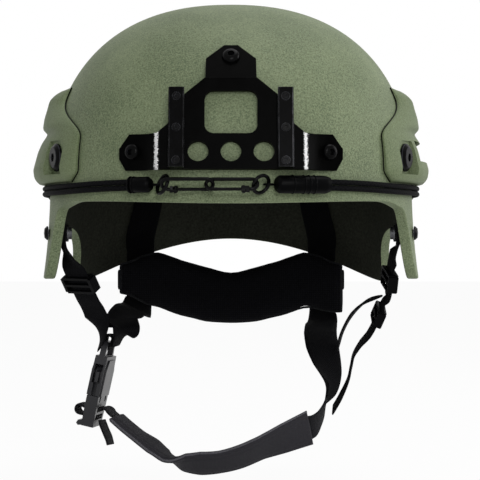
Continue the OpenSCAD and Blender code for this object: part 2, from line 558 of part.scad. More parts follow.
rear_right_route = [[bolt_pt(-1, nape_bolt, 5), bolt_side(-1, nape_bolt)],
    [bolt_pt(-1, nape_bolt, -9), bolt_side(-1, nape_bolt)], [[-65, 106, 28], [0.82, 0.57, 0]],
    [[-65, 94.6, 14], [0.76, 0.65, 0]], [[-65, 91.3, 5], [0.76, 0.65, 0]], [[-65, 91.3, -13], [0.76, 0.65, 0]],
    [[-65.6, 90.4, -19.5], [0.76, 0.6, -0.2]], [[-66.6, 84, -24], [0.82, 0.4, -0.4]], [[-68, 74, -24.5], [0.82, 0.15, -0.55]],
    [[-69.8, 60, -23], [0.8, 0.1, -0.58]], [[-71.8, 45, -22.5], [0.84, 0.08, -0.53]], [[-74, 31, -26.2], [0.87, 0.05, -0.48]],
    [[-73.8, 19, -31], [0.8, 0.3, -0.45]], [buckle_pt(loop_out + 4.2, 4.5, 7.5), buckle_pt(0.45, 0.85, -0.2) - buckle_at],
    [buckle_pt(loop_out + 2.2, 0.8, 4.4), buckle_pt(0.04, 1, 0) - buckle_at],
    [buckle_pt(loop_out + 1.3, 0, -2.4), buckle_pt(0, 1, 0) - buckle_at]];
rear_left_route = [[bolt_pt(1, nape_bolt, 5), bolt_side(1, nape_bolt)],
    [bolt_pt(1, nape_bolt, -9), bolt_side(1, nape_bolt)], [[65, 106, 28], [-0.82, 0.57, 0]],
    [[65, 94.6, 14], [-0.76, 0.65, 0]], [[65, 91.3, 5], [-0.76, 0.65, 0]], [[65, 91.3, -14], [-0.76, 0.65, 0]],
    [[65, 91.2, -24], [-0.76, 0.65, 0]], [[64.6, 88.6, -30.5], [-0.8, 0.6, 0]], [[63.4, 76, -35.5], [-1, 0.2, 0]],
    [[62, 54, -41], [-1, 0, 0]], [[62.5, 36, -48.5], [-1, -0.1, 0]], [[65, 22, -61], [-0.85, -0.45, 0.2]],
    [[65, 10, -71.5], [-0.45, -0.8, 0.3]], [[63.6, 3.6, -78], [0, -1, 0.2]]];
slack_route = [[[96.9, -26, -11.6], [0.1, 1, 0]], [[93.9, -24.8, -12.6], [0.2, 1, 0.1]], [[88, -19.4, -15.2], [0.5, 0.85, 0.3]],
    [[82.2, -8, -21.1], [0.5, 0.85, 0.3]], [[77.2, 2, -29.5], [0.4, 0.9, 0.4]], [[74.1, 11, -37.8], [0.3, 0.9, 0.4]],
    [[72.7, 20, -45.8], [0.2, 0.9, 0.5]]];
chin_right_route = [[buckle_pt(plug_half + 1.5, 0, -44.2), buckle_pt(0, 1, 0) - buckle_at],
    [[-82.6, -3.1, -85.9], [0.13, 1, 0]], [[-80.6, -4, -86.9], [0.12, 1, 0.05]], [[-78.6, -5, -88.9], [0.1, 1, 0.08]]];
tail_route = [[buckle_pt(plug_half + 2.4, 0, -51.6), buckle_pt(0, 1, 0) - buckle_at],
    [[-84.6, -3.2, -96.6], [0.16, 1, 0]], [[-82.8, -3.8, -101], [0.13, 1, 0.05]],
    [[-80.8, -4.3, -105.6], [0.12, 1, 0.1]], [[-79.5, -4.8, -110.2], [0.12, 1, 0.1]]];
chin_left_route = [[[52.6, -6.3, -98.4], [0.23, 0.65, -0.72]], [[55, -5.8, -97.4], [0.2, 0.72, -0.65]],
    [[58.2, -4, -93.6], [0.15, 0.85, -0.5]], [[60.8, -1.5, -89], [0.1, 0.9, -0.4]], [[62.8, 1.4, -82.4], [0, 1, -0.25]]];
// The chin cup's middle line, with the direction of its width from its front edge to its rear edge
cup_route = [[[-76, -7, -91.5], [0.085, 1, 0.085]], [[-69, -8.5, -97.5], [0.085, 1, 0.085]], [[-60, -10, -104.5], [0.06, 1, 0.1]],
    [[-51, -11, -110.6], [0.03, 1, 0.2]], [[-43, -12, -116.6], [0, 1, 0.12]], [[-38, -12, -119], [0, 1, -0.1]],
    [[-31, -12, -121], [0, 0.87, -0.42]], [[-20, -12, -121.7], [0, 0.83, -0.56]], [[-7, -12, -120.7], [0, 0.84, -0.54]],
    [[6, -12, -117.3], [0.02, 0.82, -0.57]], [[20, -11.4, -111.4], [0.05, 0.82, -0.57]],
    [[35, -9.6, -105.4], [0.1, 0.71, -0.7]], [[44.5, -8, -101.6], [0.15, 0.66, -0.74]], [[52, -6.4, -98.7], [0.23, 0.62, -0.75]]];

// Strap with an eyelet for its bolt
module bolted_strap(route, w, side, b) color(webbing_black) difference() {
    webbing(route, w);
    on_shell(side * b[0], b[1]) y_rod(bolt_d + 0.4, 0, shell_t + 12);
}
module front_strap_right() bolted_strap(front_right_route, strap_w, -1, flap_bolt);
module front_strap_left() bolted_strap(front_left_route, strap_w, 1, flap_bolt);
module rear_strap_right() bolted_strap(rear_right_route, rear_w, -1, nape_bolt);
module rear_strap_left() bolted_strap(rear_left_route, rear_w, 1, nape_bolt);
module slack_strap() color(webbing_black) webbing(slack_route, 14);
module chin_webbing_right() color(webbing_black) webbing(chin_right_route, strap_w);
module strap_tail() color(webbing_black) webbing(tail_route, strap_w);
// Fold of the chin webbing through the plug's two slots
module plug_webbing() color(webbing_black) at_buckle() rotate([-90, 0, 0]) translate([0, 0, -strap_w / 2 + 0.2])
    linear_extrude(strap_w - 0.4) polygon([[plug_half + 0.4, 44.3], [-plug_half - 1, 44.3], [-plug_half - 5.4, 43.4],
        [-plug_half - 7.6, 45.4], [-plug_half - 7.6, 48.6], [-plug_half - 5.4, 50.9], [-plug_half - 1, 51], [plug_half + 0.4, 51],
        [plug_half + 0.4, 49.4], [-plug_half - 0.6, 49.4], [-plug_half - 4.8, 49.2], [-plug_half - 6, 48],
        [-plug_half - 6, 46], [-plug_half - 4.8, 45.1], [-plug_half - 0.6, 45.9], [plug_half + 0.4, 45.9]]);
module chin_webbing_left() color(webbing_black) webbing(chin_left_route, rear_w);
function cup_half(u) = cup_t / 2 * mix(0.45, 1, sqrt(1 - pow(u, 4)));
module chin_cup() color("#34343a") {
    path = [for (r = cup_route) r[0]];
    side = [for (i = [0:len(path) - 1]) let (d = tangent(path, i), s = cup_route[i][1]) unit(s - (s * d) * d)];
    face = [for (i = [0:len(path) - 1]) cross(tangent(path, i), side[i])];
    cells = [-1, -0.8, -0.4, 0, 0.4, 0.8, 1];
    slab([for (i = [0:len(path) - 1]) [for (u = cells) path[i] + u * cup_w / 2 * side[i] + cup_half(u) * face[i]]],
        [for (i = [0:len(path) - 1]) [for (u = cells) path[i] + u * cup_w / 2 * side[i] - cup_half(u) * face[i]]]);
}

// Nape pad: a crowned cushion on an arc behind the neck
nape_r = 92;
nape_y = 16;
nape_half = 57.5;
function nape_top(u) = let (a = abs(u)) a < 0.6 ? 2.5 + 26 * pow(a, 1.15) : mix(17, 9, smooth((a - 0.6) / 0.4));
function nape_bottom(u) = let (a = abs(u))
    -36.2 + 30 * pow(min(a, 0.6), 1.7) + (a > 0.6 ? (u < 0 ? 10.5 : -4) * smooth((a - 0.6) / 0.4) : 0);
function nape_pt(u, v, r) = let (a = nape_half * u)
    [r * sin(a), nape_y + r * cos(a), mix(nape_bottom(u), nape_top(u), (v + 1) / 2)];
function nape_swell(u, v) = nape_t / 2 * mix(0.35, 1, sqrt((1 - pow(u, 8)) * (1 - pow(v, 4))));
module nape_pad() color(pad_black) {
    lengthwise = [for (i = [0:20]) i / 10 - 1];
    upright = [-1, -0.9, -0.6, -0.2, 0.2, 0.6, 0.9, 1];
    slab([for (u = lengthwise) [for (v = upright) nape_pt(u, v, nape_r + nape_swell(u, v))]],
        [for (u = lengthwise) [for (v = upright) nape_pt(u, v, nape_r - nape_swell(u, v))]]);
}
// Webbing loop that holds a rear strap against the nape pad's back
loop_w = 14;
module nape_loop(side) color(webbing_black) {
    out = nape_r + nape_t / 2 + clearance;
    turn = side * asin(65 / (nape_r + nape_t / 2));
    translate([0, nape_y, -10]) rotate([0, 0, 90 - turn]) rotate([0, 0, -10.5]) rotate_extrude(angle = 21)
        translate([out + 3.3, 0]) square([1.3, loop_w]);
    for (end = [-1, 1]) translate([0, nape_y, -10]) rotate([0, 0, 90 - turn + end * 9.3]) rotate([0, 0, -1.2])
        rotate_extrude(angle = 2.4) translate([out, 0]) square([3.6, loop_w]);
}
module nape_loop_right() nape_loop(-1);
module nape_loop_left() nape_loop(1);

// Sliders on the straps: a frame round the webbing with a cross bar on its outer side
function lie(route, i, u) = mix(route[i][0], route[i + 1][0], u);
module on_route(route, i, u) {
    d = unit(route[i + 1][0] - route[i][0]);
    s = unit(route[i][1] - (route[i][1] * d) * d);
    f = cross(d, s);
    p = lie(route, i, u);
    multmatrix([[f[0], s[0], d[0], p[0]], [f[1], s[1], d[1], p[1]], [f[2], s[2], d[2], p[2]]]) children();
}
module slider(w, h, t) color(metal_black) difference() {
    union() {
        translate([-t / 2, -w / 2 + 1.5, -h / 2]) cube([t, w - 3, h]);
        for (s = [-1, 1]) translate([0, s * (w / 2 - 1.5), -h / 2 + 1]) {
            translate([-t / 2, -1.5, 0]) cube([t, 3, h - 2]);
        }
    }
    translate([-web_t / 2 - slider_air, -strap_w / 2 - 0.7, -h]) cube([web_t + 2 * slider_air, strap_w + 1.4, 2 * h]);
    for (z = [-h / 2 + 1.8, 0.9]) translate([-t, -strap_w / 2 - 0.5, z]) cube([2 * t, strap_w + 1, h / 2 - 2.7]);
}
slider_air = 0.6;
slider_h = 12;
slider_depth = 6.4;
module slider_right() on_route(front_right_route, 3, 0.5) slider(26, slider_h, slider_depth);
module slider_left() on_route(front_left_route, 3, 0.45) slider(26, slider_h, slider_depth);
module strap_adjuster() on_route(front_left_route, 5, 0.5) slider(25, 11, 5.6);

// Side-release buckle
cavity_w = buckle_w - 7;
cavity_t = 6;
window_top = -15;
window_bottom = -27.5;
bar_slot_top = -2.8;
bar_slot_h = 6.5;
module buckle_plate(points, t) {
    rotate([90, 0, 90]) translate([0, 0, -t / 2]) linear_extrude(t) polygon(points);
}
module buckle_housing() color(buckle_grey) at_buckle() difference() {
    union() {
        buckle_plate([[-10.5, 0], [10.5, 0], [12.5, -2], [buckle_w / 2 - 1.5, -12], [-buckle_w / 2 + 1.5, -12],
            [-12.5, -2]], 3.8);
        buckle_plate([[-14.4, -9.6], [14.4, -9.6], [buckle_w / 2 - 1.5, -12], [buckle_w / 2, -20],
            [buckle_w / 2 - 1, -buckle_l], [-buckle_w / 2 + 1, -buckle_l], [-buckle_w / 2, -20],
            [-buckle_w / 2 + 1.5, -12]], buckle_t - 2);
        buckle_plate([[-8, -12], [8, -12], [buckle_w / 2 - 4, -19], [buckle_w / 2 - 4, -buckle_l],
            [-buckle_w / 2 + 4, -buckle_l], [-buckle_w / 2 + 4, -19]], buckle_t);
    }
    translate([-buckle_t, -strap_w / 2 - 0.4, bar_slot_top - bar_slot_h]) cube([2 * buckle_t, strap_w + 0.8, bar_slot_h]);
    translate([-cavity_t / 2, -cavity_w / 2, -buckle_l - 1]) cube([cavity_t, cavity_w, buckle_l - 12]);
    translate([-2.7, -buckle_w, window_bottom]) cube([5.4, 2 * buckle_w, window_top - window_bottom]);
    translate([-1.4, -buckle_w, -buckle_l - 1]) cube([2.8, 2 * buckle_w, buckle_l + 1 + window_top]);
}
plug_top = -buckle_l - clearance;
plug_l = 20.5;
knuckle_y = 8.2;
knuckle_z = plug_top - 2;
knuckle_r = 2;
module buckle_plug() color(buckle_grey) at_buckle() difference() {
    union() {
        buckle_plate([[-buckle_w / 2 + 1.5, plug_top], [buckle_w / 2 - 1.5, plug_top], [buckle_w / 2 - 1.5, plug_top - 6],
            [buckle_w / 2 - 3.5, plug_top - plug_l], [-buckle_w / 2 + 3.5, plug_top - plug_l],
            [-buckle_w / 2 + 1.5, plug_top - 6]], buckle_t - 2);
        buckle_plate([[-1.9, plug_top - 1], [1.9, plug_top - 1], [1.9, window_top - 2], [1.2, window_top],
            [-1.2, window_top], [-1.9, window_top - 2]], cavity_t - 1.2);
        translate([0, 0, plug_top - plug_l + 2.2]) rotate([90, 0, 0])
            cylinder(d = 4.4, h = buckle_w - 7, center = true);
        rotate([-90, 0, 0]) translate([0, 0, -9]) linear_extrude(18) polygon([[-1, 1 - plug_top + plug_l - 5],
            [-plug_half - 3.6, plug_l - plug_top - 2.6], [-plug_half - 4.4, plug_l - plug_top - 0.4],
            [-plug_half - 3, plug_l - plug_top + 0.8], [-1, plug_l - plug_top - 0.6]]);
    }
    for (z = [plug_top - 10.5, plug_top - 15.6]) translate([-buckle_t, -strap_w / 2 - 0.4, z])
        cube([2 * buckle_t, strap_w + 0.8, 3.4]);
    for (s = [-1, 1]) translate([0, s * knuckle_y, knuckle_z]) {
        x_rod(2 * knuckle_r + 0.1, -buckle_t, buckle_t);
        translate([-buckle_t, -knuckle_r - 0.05, 0]) cube([2 * buckle_t, 2 * knuckle_r + 0.1, 5]);
    }
}
// Springy prong of the plug, on a knuckle, with a shoulder that shows in the housing's side window
module prong(s) color(buckle_grey) at_buckle() {
    translate([0, s * knuckle_y, knuckle_z]) x_rod(2 * knuckle_r, -cavity_t / 2 + 0.6, cavity_t / 2 - 0.6);
    buckle_plate([for (p = [[6.6, knuckle_z + 0.5], [9.8, knuckle_z + 0.5], [11.4, window_bottom - 1], [12.2, window_bottom + 1],
        [12.2, window_top - 5], [9.5, window_top - 1.5], [7.4, window_top - 1.5], [8.2, window_bottom]]) [s * p[0], p[1]]],
        cavity_t - 1.2);
    buckle_plate([for (p = [[12, window_bottom + 0.6], [buckle_w / 2 - 0.6, window_bottom + 0.6],
        [buckle_w / 2 - 1.2, window_top - 5], [12, window_top - 4]]) [s * p[0], p[1]]], 2.2);
}
module prong_front() prong(-1);
module prong_rear() prong(1);
// Webbing folded round the housing's top bar
module buckle_webbing() color(webbing_black) at_buckle() rotate([-90, 0, 0]) translate([0, 0, -strap_w / 2])
    linear_extrude(strap_w) difference() {
        polygon([[-loop_out, 3.6], [-loop_out + 1.3, 4.6], [loop_out - 1.3, 4.6], [loop_out, 3.6], [loop_out, -1],
            [1.5, -6], [-1.5, -6], [-loop_out, -1]]);
        polygon([[-loop_out + 1.3, 3.2], [loop_out - 1.3, 3.2], [loop_out - 1.3, -0.6], [0.6, -4.4], [-0.6, -4.4],
            [-loop_out + 1.3, -0.6]]);
    }

// Elastic cords along the brow
function cord_rest(az) = mix(0.9, 1.7, smooth((abs(az) - 30) / 40));
cord_gap = 0.15;
function cord_z(az) = mix(hook_z, 56.3, smooth((abs(az) - 25) / 30));
function cord_pt(az, level) = shell_pt(az, cord_z(az) + level * (cord_d + cord_gap) / 2, cord_rest(az) + cord_d / 2);
// The sleeves, rings and hooks keep their distances to the side, whatever the shell's length
cord_stand = 0.9 + cord_d / 2;
function brow_y(x) = -(shell_l / 2 + cord_stand) * pow(1 - pow(abs(x) / (shell_w / 2 + cord_stand), plan_exp), 1 / plan_exp);
function brow_az(x) = atan2(x, -brow_y(x));
sleeve_right_az = [brow_az(45.6), brow_az(58.6)];
sleeve_left_az = [brow_az(24.8), brow_az(56.4)];
eye_right = [-43.2, brow_y(43.2) - 1.27];
eye_left = [22.1, brow_y(22.1) - 1.4];
ring_right = eye_right + [3.2, -4.6];
ring_left = eye_left + [-4.6, -3.1];
module elastic(side, az0) color(webbing_black) for (level = [-1, 1])
    cord([for (i = [0:14]) cord_pt(side * mix(az0, cord_stop, i / 14), level)], cord_d, 8);
module cord_right() elastic(-1, sleeve_right_az[1] + 0.15);
module cord_left() elastic(1, sleeve_left_az[1] + 0.15);
// Sleeve crimped on the doubled cord between two azimuths, with a cord eye at its inner end
module cord_sleeve(side, span, d, stand, eye) color("#101012") {
    a = cord_pt(side * span[0], 0);
    b = cord_pt(side * span[1], 0);
    out = (d - cord_d) / 2 + stand;
    turn = normal_turn(side * (span[0] + span[1]) / 2, hook_z);
    l = norm(b - a);
    translate((a + b) / 2 + out * [sin(turn), -cos(turn), 0]) rotate([0, 0, atan2(b[1] - a[1], b[0] - a[0])])
        translate([-l / 2, 0, 0]) rotate([0, 90, 0]) rotate_extrude() polygon([[0, 0], [d / 2 - 1.4, 0],
            [d / 2, 1.8], [d / 2, l - 3], [d / 2 - 1, l], [0, l]]);
    translate([eye[0], eye[1], hook_z]) rotate_extrude() translate([2.7, 0]) circle(d = 1.4);
}
module cord_sleeve_right() cord_sleeve(-1, sleeve_right_az, 9.4, 0.2, eye_right);
module cord_sleeve_left() cord_sleeve(1, sleeve_left_az, 10.6, 1.2, eye_left);
ring_d = 12.8;
ring_tilt = 30;
module cord_ring(at, turn, tilt) color(metal_black) translate([at[0], at[1], hook_z]) rotate([tilt, 0, 0])
    rotate([90, 0, turn]) rotate_extrude() translate([(ring_d - wire_d) / 2, 0]) circle(d = wire_d);
module cord_ring_right() cord_ring(ring_right, -55, -ring_tilt - 8);
module cord_ring_left() cord_ring(ring_left, 34, ring_tilt);

// Snap hook: a wire link whose lower side is a sprung gate. X runs from the eye to the nose.
hook_l = 30;
hook_r = 3.7;
gate_d = 1.6;
gate_x0 = 8;
gate_x1 = 23;
module link_end(r) rotate_extrude(angle = 180) translate([r, 0]) circle(d = wire_d);
module hook_frame(x, y, turn, tilt, flip) {
    translate([x, y, hook_z]) rotate([0, 0, turn]) rotate([tilt, 0, 0]) rotate([90, 0, 0]) mirror([flip, 0, 0]) children();
}
module hook_body() color(metal_black) {
    translate([hook_r, 0, 0]) rotate([0, 0, 90]) link_end(hook_r);
    translate([hook_l - hook_r, 0, 0]) rotate([0, 0, -90]) link_end(hook_r);
    translate([0, hook_r, 0]) x_rod(wire_d, hook_r, hook_l - hook_r);
    translate([0, -hook_r, 0]) {
        x_rod(wire_d, hook_r, gate_x0 - 1.6);
        x_rod(wire_d, gate_x1 + 0.2, hook_l - hook_r);
        for (z = [-1, 1]) translate([gate_x0, 0, z * (gate_d / 2 + 0.55)]) cylinder(d = 2.6, h = 0.9, center = true);
        for (z = [-1, 1]) translate([gate_x0 - 3, -0.7, z * (gate_d / 2 + 0.55) - 0.45]) cube([3, 1.4, 0.9]);
        translate([gate_x0 - 3.4, -0.9, -gate_d / 2 - 1]) cube([1.6, 1.8, gate_d + 2]);
        translate([gate_x0, 0, 0]) cylinder(d = 0.9, h = gate_d + 1.8, center = true);
    }
}
module hook_gate() color(metal_black) translate([0, -hook_r, 0]) {
    x_rod(gate_d, gate_x0 + 0.8, gate_x1);
    translate([gate_x0, 0, 0]) difference() {
        cylinder(d = 2.2, h = gate_d, center = true);
        cylinder(d = 1, h = 4, center = true);
    }
}
right_hook = [ring_right[0] - 0.4, ring_right[1] - 4.6, -3.1, 37, 0];
left_hook = [ring_left[0] - 2.1, ring_left[1] - 3.5, -3.1, -37, 1];
module hook_right() hook_frame(right_hook[0], right_hook[1], right_hook[2], right_hook[3], right_hook[4]) hook_body();
module hook_left() hook_frame(left_hook[0], left_hook[1], left_hook[2], left_hook[3], left_hook[4]) hook_body();
module hook_gate_right() hook_frame(right_hook[0], right_hook[1], right_hook[2], right_hook[3], right_hook[4]) hook_gate();
module hook_gate_left() hook_frame(left_hook[0], left_hook[1], left_hook[2], left_hook[3], left_hook[4]) hook_gate();

shell();
rail_right();
rail_left();
rail_bolts();
rail_nuts();
mounting_plate();
dovetail_bar_right();
dovetail_bar_left();
dovetail_screws();
plate_screws();
plate_nuts();
strap_bolts();
strap_nuts();
crown_pad();
front_pad();
rear_pad();
side_pad_front_right();
side_pad_front_left();
side_pad_rear_right();
side_pad_rear_left();
pad_discs();
front_strap_right();
front_strap_left();
rear_strap_right();
rear_strap_left();
nape_pad();
nape_loop_right();
nape_loop_left();
slack_strap();
slider_right();
slider_left();
strap_adjuster();
buckle_housing();
buckle_plug();
prong_front();
prong_rear();
buckle_webbing();
chin_webbing_right();
plug_webbing();
strap_tail();
chin_cup();
chin_webbing_left();
cord_right();
cord_left();
cord_sleeve_right();
cord_sleeve_left();
cord_ring_right();
cord_ring_left();
hook_right();
hook_left();
hook_gate_right();
hook_gate_left();
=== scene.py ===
"""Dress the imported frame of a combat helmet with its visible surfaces.

The frame gives every solid its place. This script builds the finer surface of each piece round it, in metres
and in the same axes: +Z up, the front faces -Y, and +X is the wearer's left. Fields hold millimetres and
degrees, but for those of the finishes and the studio, which hold metres. Azimuth 0 is the front.
"""

from __future__ import annotations

import json
import logging
import math
from dataclasses import dataclass, field, replace
from enum import Enum
from typing import Callable, Sequence

import bmesh
import bpy
from mathutils import Matrix, Vector, noise

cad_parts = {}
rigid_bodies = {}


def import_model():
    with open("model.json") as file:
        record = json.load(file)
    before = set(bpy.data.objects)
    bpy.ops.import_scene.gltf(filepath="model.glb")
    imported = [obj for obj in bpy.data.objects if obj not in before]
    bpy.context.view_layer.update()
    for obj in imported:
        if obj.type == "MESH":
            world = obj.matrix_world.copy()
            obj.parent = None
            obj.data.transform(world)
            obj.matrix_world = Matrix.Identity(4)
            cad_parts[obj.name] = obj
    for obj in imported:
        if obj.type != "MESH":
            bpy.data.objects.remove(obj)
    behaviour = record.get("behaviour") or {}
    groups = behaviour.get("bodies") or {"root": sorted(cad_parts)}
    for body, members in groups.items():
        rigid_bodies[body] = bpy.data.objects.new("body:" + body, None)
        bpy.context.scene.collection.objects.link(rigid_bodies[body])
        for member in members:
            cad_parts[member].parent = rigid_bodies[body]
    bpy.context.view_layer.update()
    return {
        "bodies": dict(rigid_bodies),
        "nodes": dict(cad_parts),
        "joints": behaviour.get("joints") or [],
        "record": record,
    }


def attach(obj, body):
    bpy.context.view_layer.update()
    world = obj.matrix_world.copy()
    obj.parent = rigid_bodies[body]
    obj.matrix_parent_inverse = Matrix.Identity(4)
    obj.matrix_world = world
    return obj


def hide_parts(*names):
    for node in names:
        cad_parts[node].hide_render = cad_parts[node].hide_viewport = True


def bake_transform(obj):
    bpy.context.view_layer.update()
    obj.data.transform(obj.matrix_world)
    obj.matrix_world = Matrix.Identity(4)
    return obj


LOG = logging.getLogger("helmet")
MM = 0.001
# A wave texture of scale 1 repeats after this many metres
WAVE_PERIOD = 0.314

Piece = bpy.types.Object
Form = bmesh.types.BMesh
Tree = bpy.types.NodeTree
Node = bpy.types.Node
Socket = bpy.types.NodeSocket
Pair = tuple[float, float]
Triple = tuple[float, float, float]
# Point of a surface for two shares from 0 to 1, in metres
Place = Callable[[float, float], Vector]


class Side(Enum):
    """Sides of the wearer, with the sign of their X."""

    RIGHT = -1
    LEFT = 1

    @property
    def word(self) -> str:
        """Name of the side as the nodes write it."""
        return self.name.lower()


# Plain helpers


def linear(code: str) -> tuple[float, float, float, float]:
    """Turn an sRGB hex value into linear colour with full alpha.

    Args:
        code: Six hex digits with a leading hash.

    Returns:
        Red, green, blue and alpha as linear numbers.
    """
    parts = [int(code[i : i + 2], 16) / 255 for i in (1, 3, 5)]
    shades = [c / 12.92 if c <= 0.04045 else ((c + 0.055) / 1.055) ** 2.4 for c in parts]
    return (shades[0], shades[1], shades[2], 1.0)


def smooth(value: float) -> float:
    """Ease a share from 0 to 1."""
    share = min(1.0, max(0.0, value))
    return share * share * (3 - 2 * share)


def mix(low: float, high: float, share: float) -> float:
    """Give the number a share of the way from low to high."""
    return low + (high - low) * share


# Finishes

# Sockets that feed a node, by the input's name or position
Links = dict[str, Socket]

MATH = "ShaderNodeMath"
MIX = "ShaderNodeMix"
NOISE = "ShaderNodeTexNoise"
RANGE = "ShaderNodeMapRange"


def put(tree: Tree, kind: str, links: Links | None = None, **values: object) -> Node:
    """Add one shader node with its settings and links.

    Args:
        tree: Node tree that receives the node.
        kind: Type name of the node.
        links: Sockets that feed inputs, by input name or position.
        values: Settings of the node, and input values whose key starts with i_.

    Returns:
        The new node.
    """
    node = tree.nodes.new(kind)
    for key, value in values.items():
        if key.startswith("i_"):
            name = key[2:].replace("_", " ")
            socket = node.inputs[int(name)] if name.isdigit() else node.inputs[name]
            socket.default_value = value
        else:
            setattr(node, key, value)
    for name, source in (links or {}).items():
        socket = node.inputs[int(name)] if name.isdigit() else node.inputs[name]
        tree.links.new(source, socket)
    return node


@dataclass(frozen=True)
class Finish:
    """Base of every finish: a named material with a principled surface.

    Colours are sRGB hex values, sizes are in metres, and the mirror is the strength of the plain reflection.
    """

    name: str
    colour: str
    roughness: float = 0.6
    mirror: float = field(default=0.5, kw_only=True)

    def build(self) -> bpy.types.Material:
        """Return the material, making it on first use.

        Returns:
            The material.
        """
        found = bpy.data.materials.get(self.name)
        if found is not None:
            return found
        material = bpy.data.materials.new(self.name)
        material.use_nodes = True
        material.diffuse_color = linear(self.colour)
        tree = material.node_tree
        tree.nodes.clear()
        surface = put(
            tree, "ShaderNodeBsdfPrincipled", i_Base_Color=linear(self.colour), i_Roughness=self.roughness,
            i_Specular_IOR_Level=self.mirror,
        )
        put(tree, "ShaderNodeOutputMaterial", {"Surface": surface.outputs[0]})
        self.dress(tree, surface)
        return material

    def dress(self, tree: Tree, surface: Node) -> None:
        """Add the finish's own pattern to the surface."""

    def tint(self, tree: Tree, surface: Node, share: Socket, low: str, high: str) -> None:
        """Blend two colours over the surface by a share."""
        blend = put(tree, MIX, {"0": share}, data_type="RGBA", i_6=linear(low), i_7=linear(high))
        tree.links.new(blend.outputs[2], surface.inputs["Base Color"])

    def gloss(self, tree: Tree, surface: Node, share: Socket, less: float, more: float) -> None:
        """Let the roughness follow a share, from less under the finish's own value to more above it.

        Args:
            tree: Node tree of the material.
            surface: Its principled node.
            share: Socket of the share.
            less: Roughness taken off at a share of 0.
            more: Roughness added at a share of 1.
        """
        low, high = self.roughness - less, self.roughness + more
        shine = put(tree, RANGE, {"Value": share}, i_To_Min=low, i_To_Max=high)
        tree.links.new(shine.outputs[0], surface.inputs["Roughness"])

    def relief(self, tree: Tree, surface: Node, height: Socket, depth: float, strength: float) -> None:
        """Press a height pattern of a depth in metres into the surface."""
        bump = put(tree, "ShaderNodeBump", {"Height": height}, i_Distance=depth, i_Strength=strength)
        tree.links.new(bump.outputs[0], surface.inputs["Normal"])


@dataclass(frozen=True)
class SprayedPaint(Finish):
    """Matt two-part paint with grit in it, sprayed on a moulded shell: dull, with a fine sandy speckle."""

    light: str = "#7d876c"
    dark: str = "#6a7459"
    grit: float = 1.5 * MM
    rough_depth: float = 0.35 * MM
    cloud: float = 45.45 * MM
    cloud_share: float = 0.35
    speckle_span: Pair = (0.5, 0.85)

    def dress(self, tree: Tree, surface: Node) -> None:
        """Speckle the paint, cloud it softly and give it its sandy relief.

        Args:
            tree: Node tree of the material.
            surface: Its principled node.
        """
        place = put(tree, "ShaderNodeTexCoord").outputs["Object"]
        # The real grit is about 0.3 mm; it is drawn coarser so that it shows
        fine = put(tree, NOISE, {"Vector": place}, i_Scale=1 / self.grit, i_Detail=3.0, i_Roughness=0.7)
        cloud = put(tree, NOISE, {"Vector": place}, i_Scale=1 / self.cloud, i_Detail=4.0, i_Roughness=0.55)
        soft = put(tree, MATH, {"0": cloud.outputs[0]}, operation="MULTIPLY", i_1=self.cloud_share)
        both = put(tree, MATH, {"0": fine.outputs[0], "1": soft.outputs[0]}, operation="ADD")
        low, high = self.speckle_span
        share = put(tree, RANGE, {"Value": both.outputs[0]}, i_From_Min=low, i_From_Max=high)
        self.tint(tree, surface, share.outputs[0], self.dark, self.light)
        self.gloss(tree, surface, fine.outputs[0], 0.06, 0.08)
        self.relief(tree, surface, fine.outputs[0], self.rough_depth, 0.55)


@dataclass(frozen=True)
class MouldedNylon(Finish):
    """Glass-filled nylon from a spark-eroded mould: satin, with a faint even grain."""

    grain: float = 0.8 * MM
    depth: float = 0.08 * MM
    spread: float = 0.06
    patch: float = 16.67 * MM

    def dress(self, tree: Tree, surface: Node) -> None:
        """Vary the gloss and press in the mould's grain.

        Args:
            tree: Node tree of the material.
            surface: Its principled node.
        """
        place = put(tree, "ShaderNodeTexCoord").outputs["Object"]
        grain = put(tree, NOISE, {"Vector": place}, i_Scale=1 / self.grain, i_Detail=2.0)
        wear = put(tree, NOISE, {"Vector": place}, i_Scale=1 / self.patch, i_Detail=5.0, i_Roughness=0.65)
        self.gloss(tree, surface, wear.outputs[0], self.spread, self.spread)
        self.relief(tree, surface, grain.outputs[0], self.depth, 0.5)


@dataclass(frozen=True)
class BlackCoat(Finish):
    """Hard black coat on machined metal: smooth and satin, with edges drawn paler, partly as handling wear
    and partly as painted highlight.
    """

    # Colour along the edges: partly wear, partly painted highlight
    edge: str = "#3a3b3e"
    smudge: str = "#101012"
    metal: float = 0.0
    patch: float = 6.25 * MM

    def rubbed(self) -> BlackCoat:
        """Give the same coat as it is drawn along an edge: paler, partly as wear and partly as painted
        highlight.
        """
        return replace(self, name=f"{self.name}_rubbed_edge", smudge=self.edge)

    def dress(self, tree: Tree, surface: Node) -> None:
        """Vary the tone and the gloss in soft patches.

        Args:
            tree: Node tree of the material.
            surface: Its principled node.
        """
        surface.inputs["Metallic"].default_value = self.metal
        place = put(tree, "ShaderNodeTexCoord").outputs["Object"]
        smear = put(tree, NOISE, {"Vector": place}, i_Scale=1 / self.patch, i_Detail=5.0, i_Roughness=0.6)
        self.gloss(tree, surface, smear.outputs[0], 0.05, 0.09)
        share = put(tree, RANGE, {"Value": smear.outputs[0]}, i_From_Min=0.3, i_From_Max=0.7)
        self.tint(tree, surface, share.outputs[0], self.colour, self.smudge)
        self.relief(tree, surface, smear.outputs[0], 0.03 * MM, 0.3)


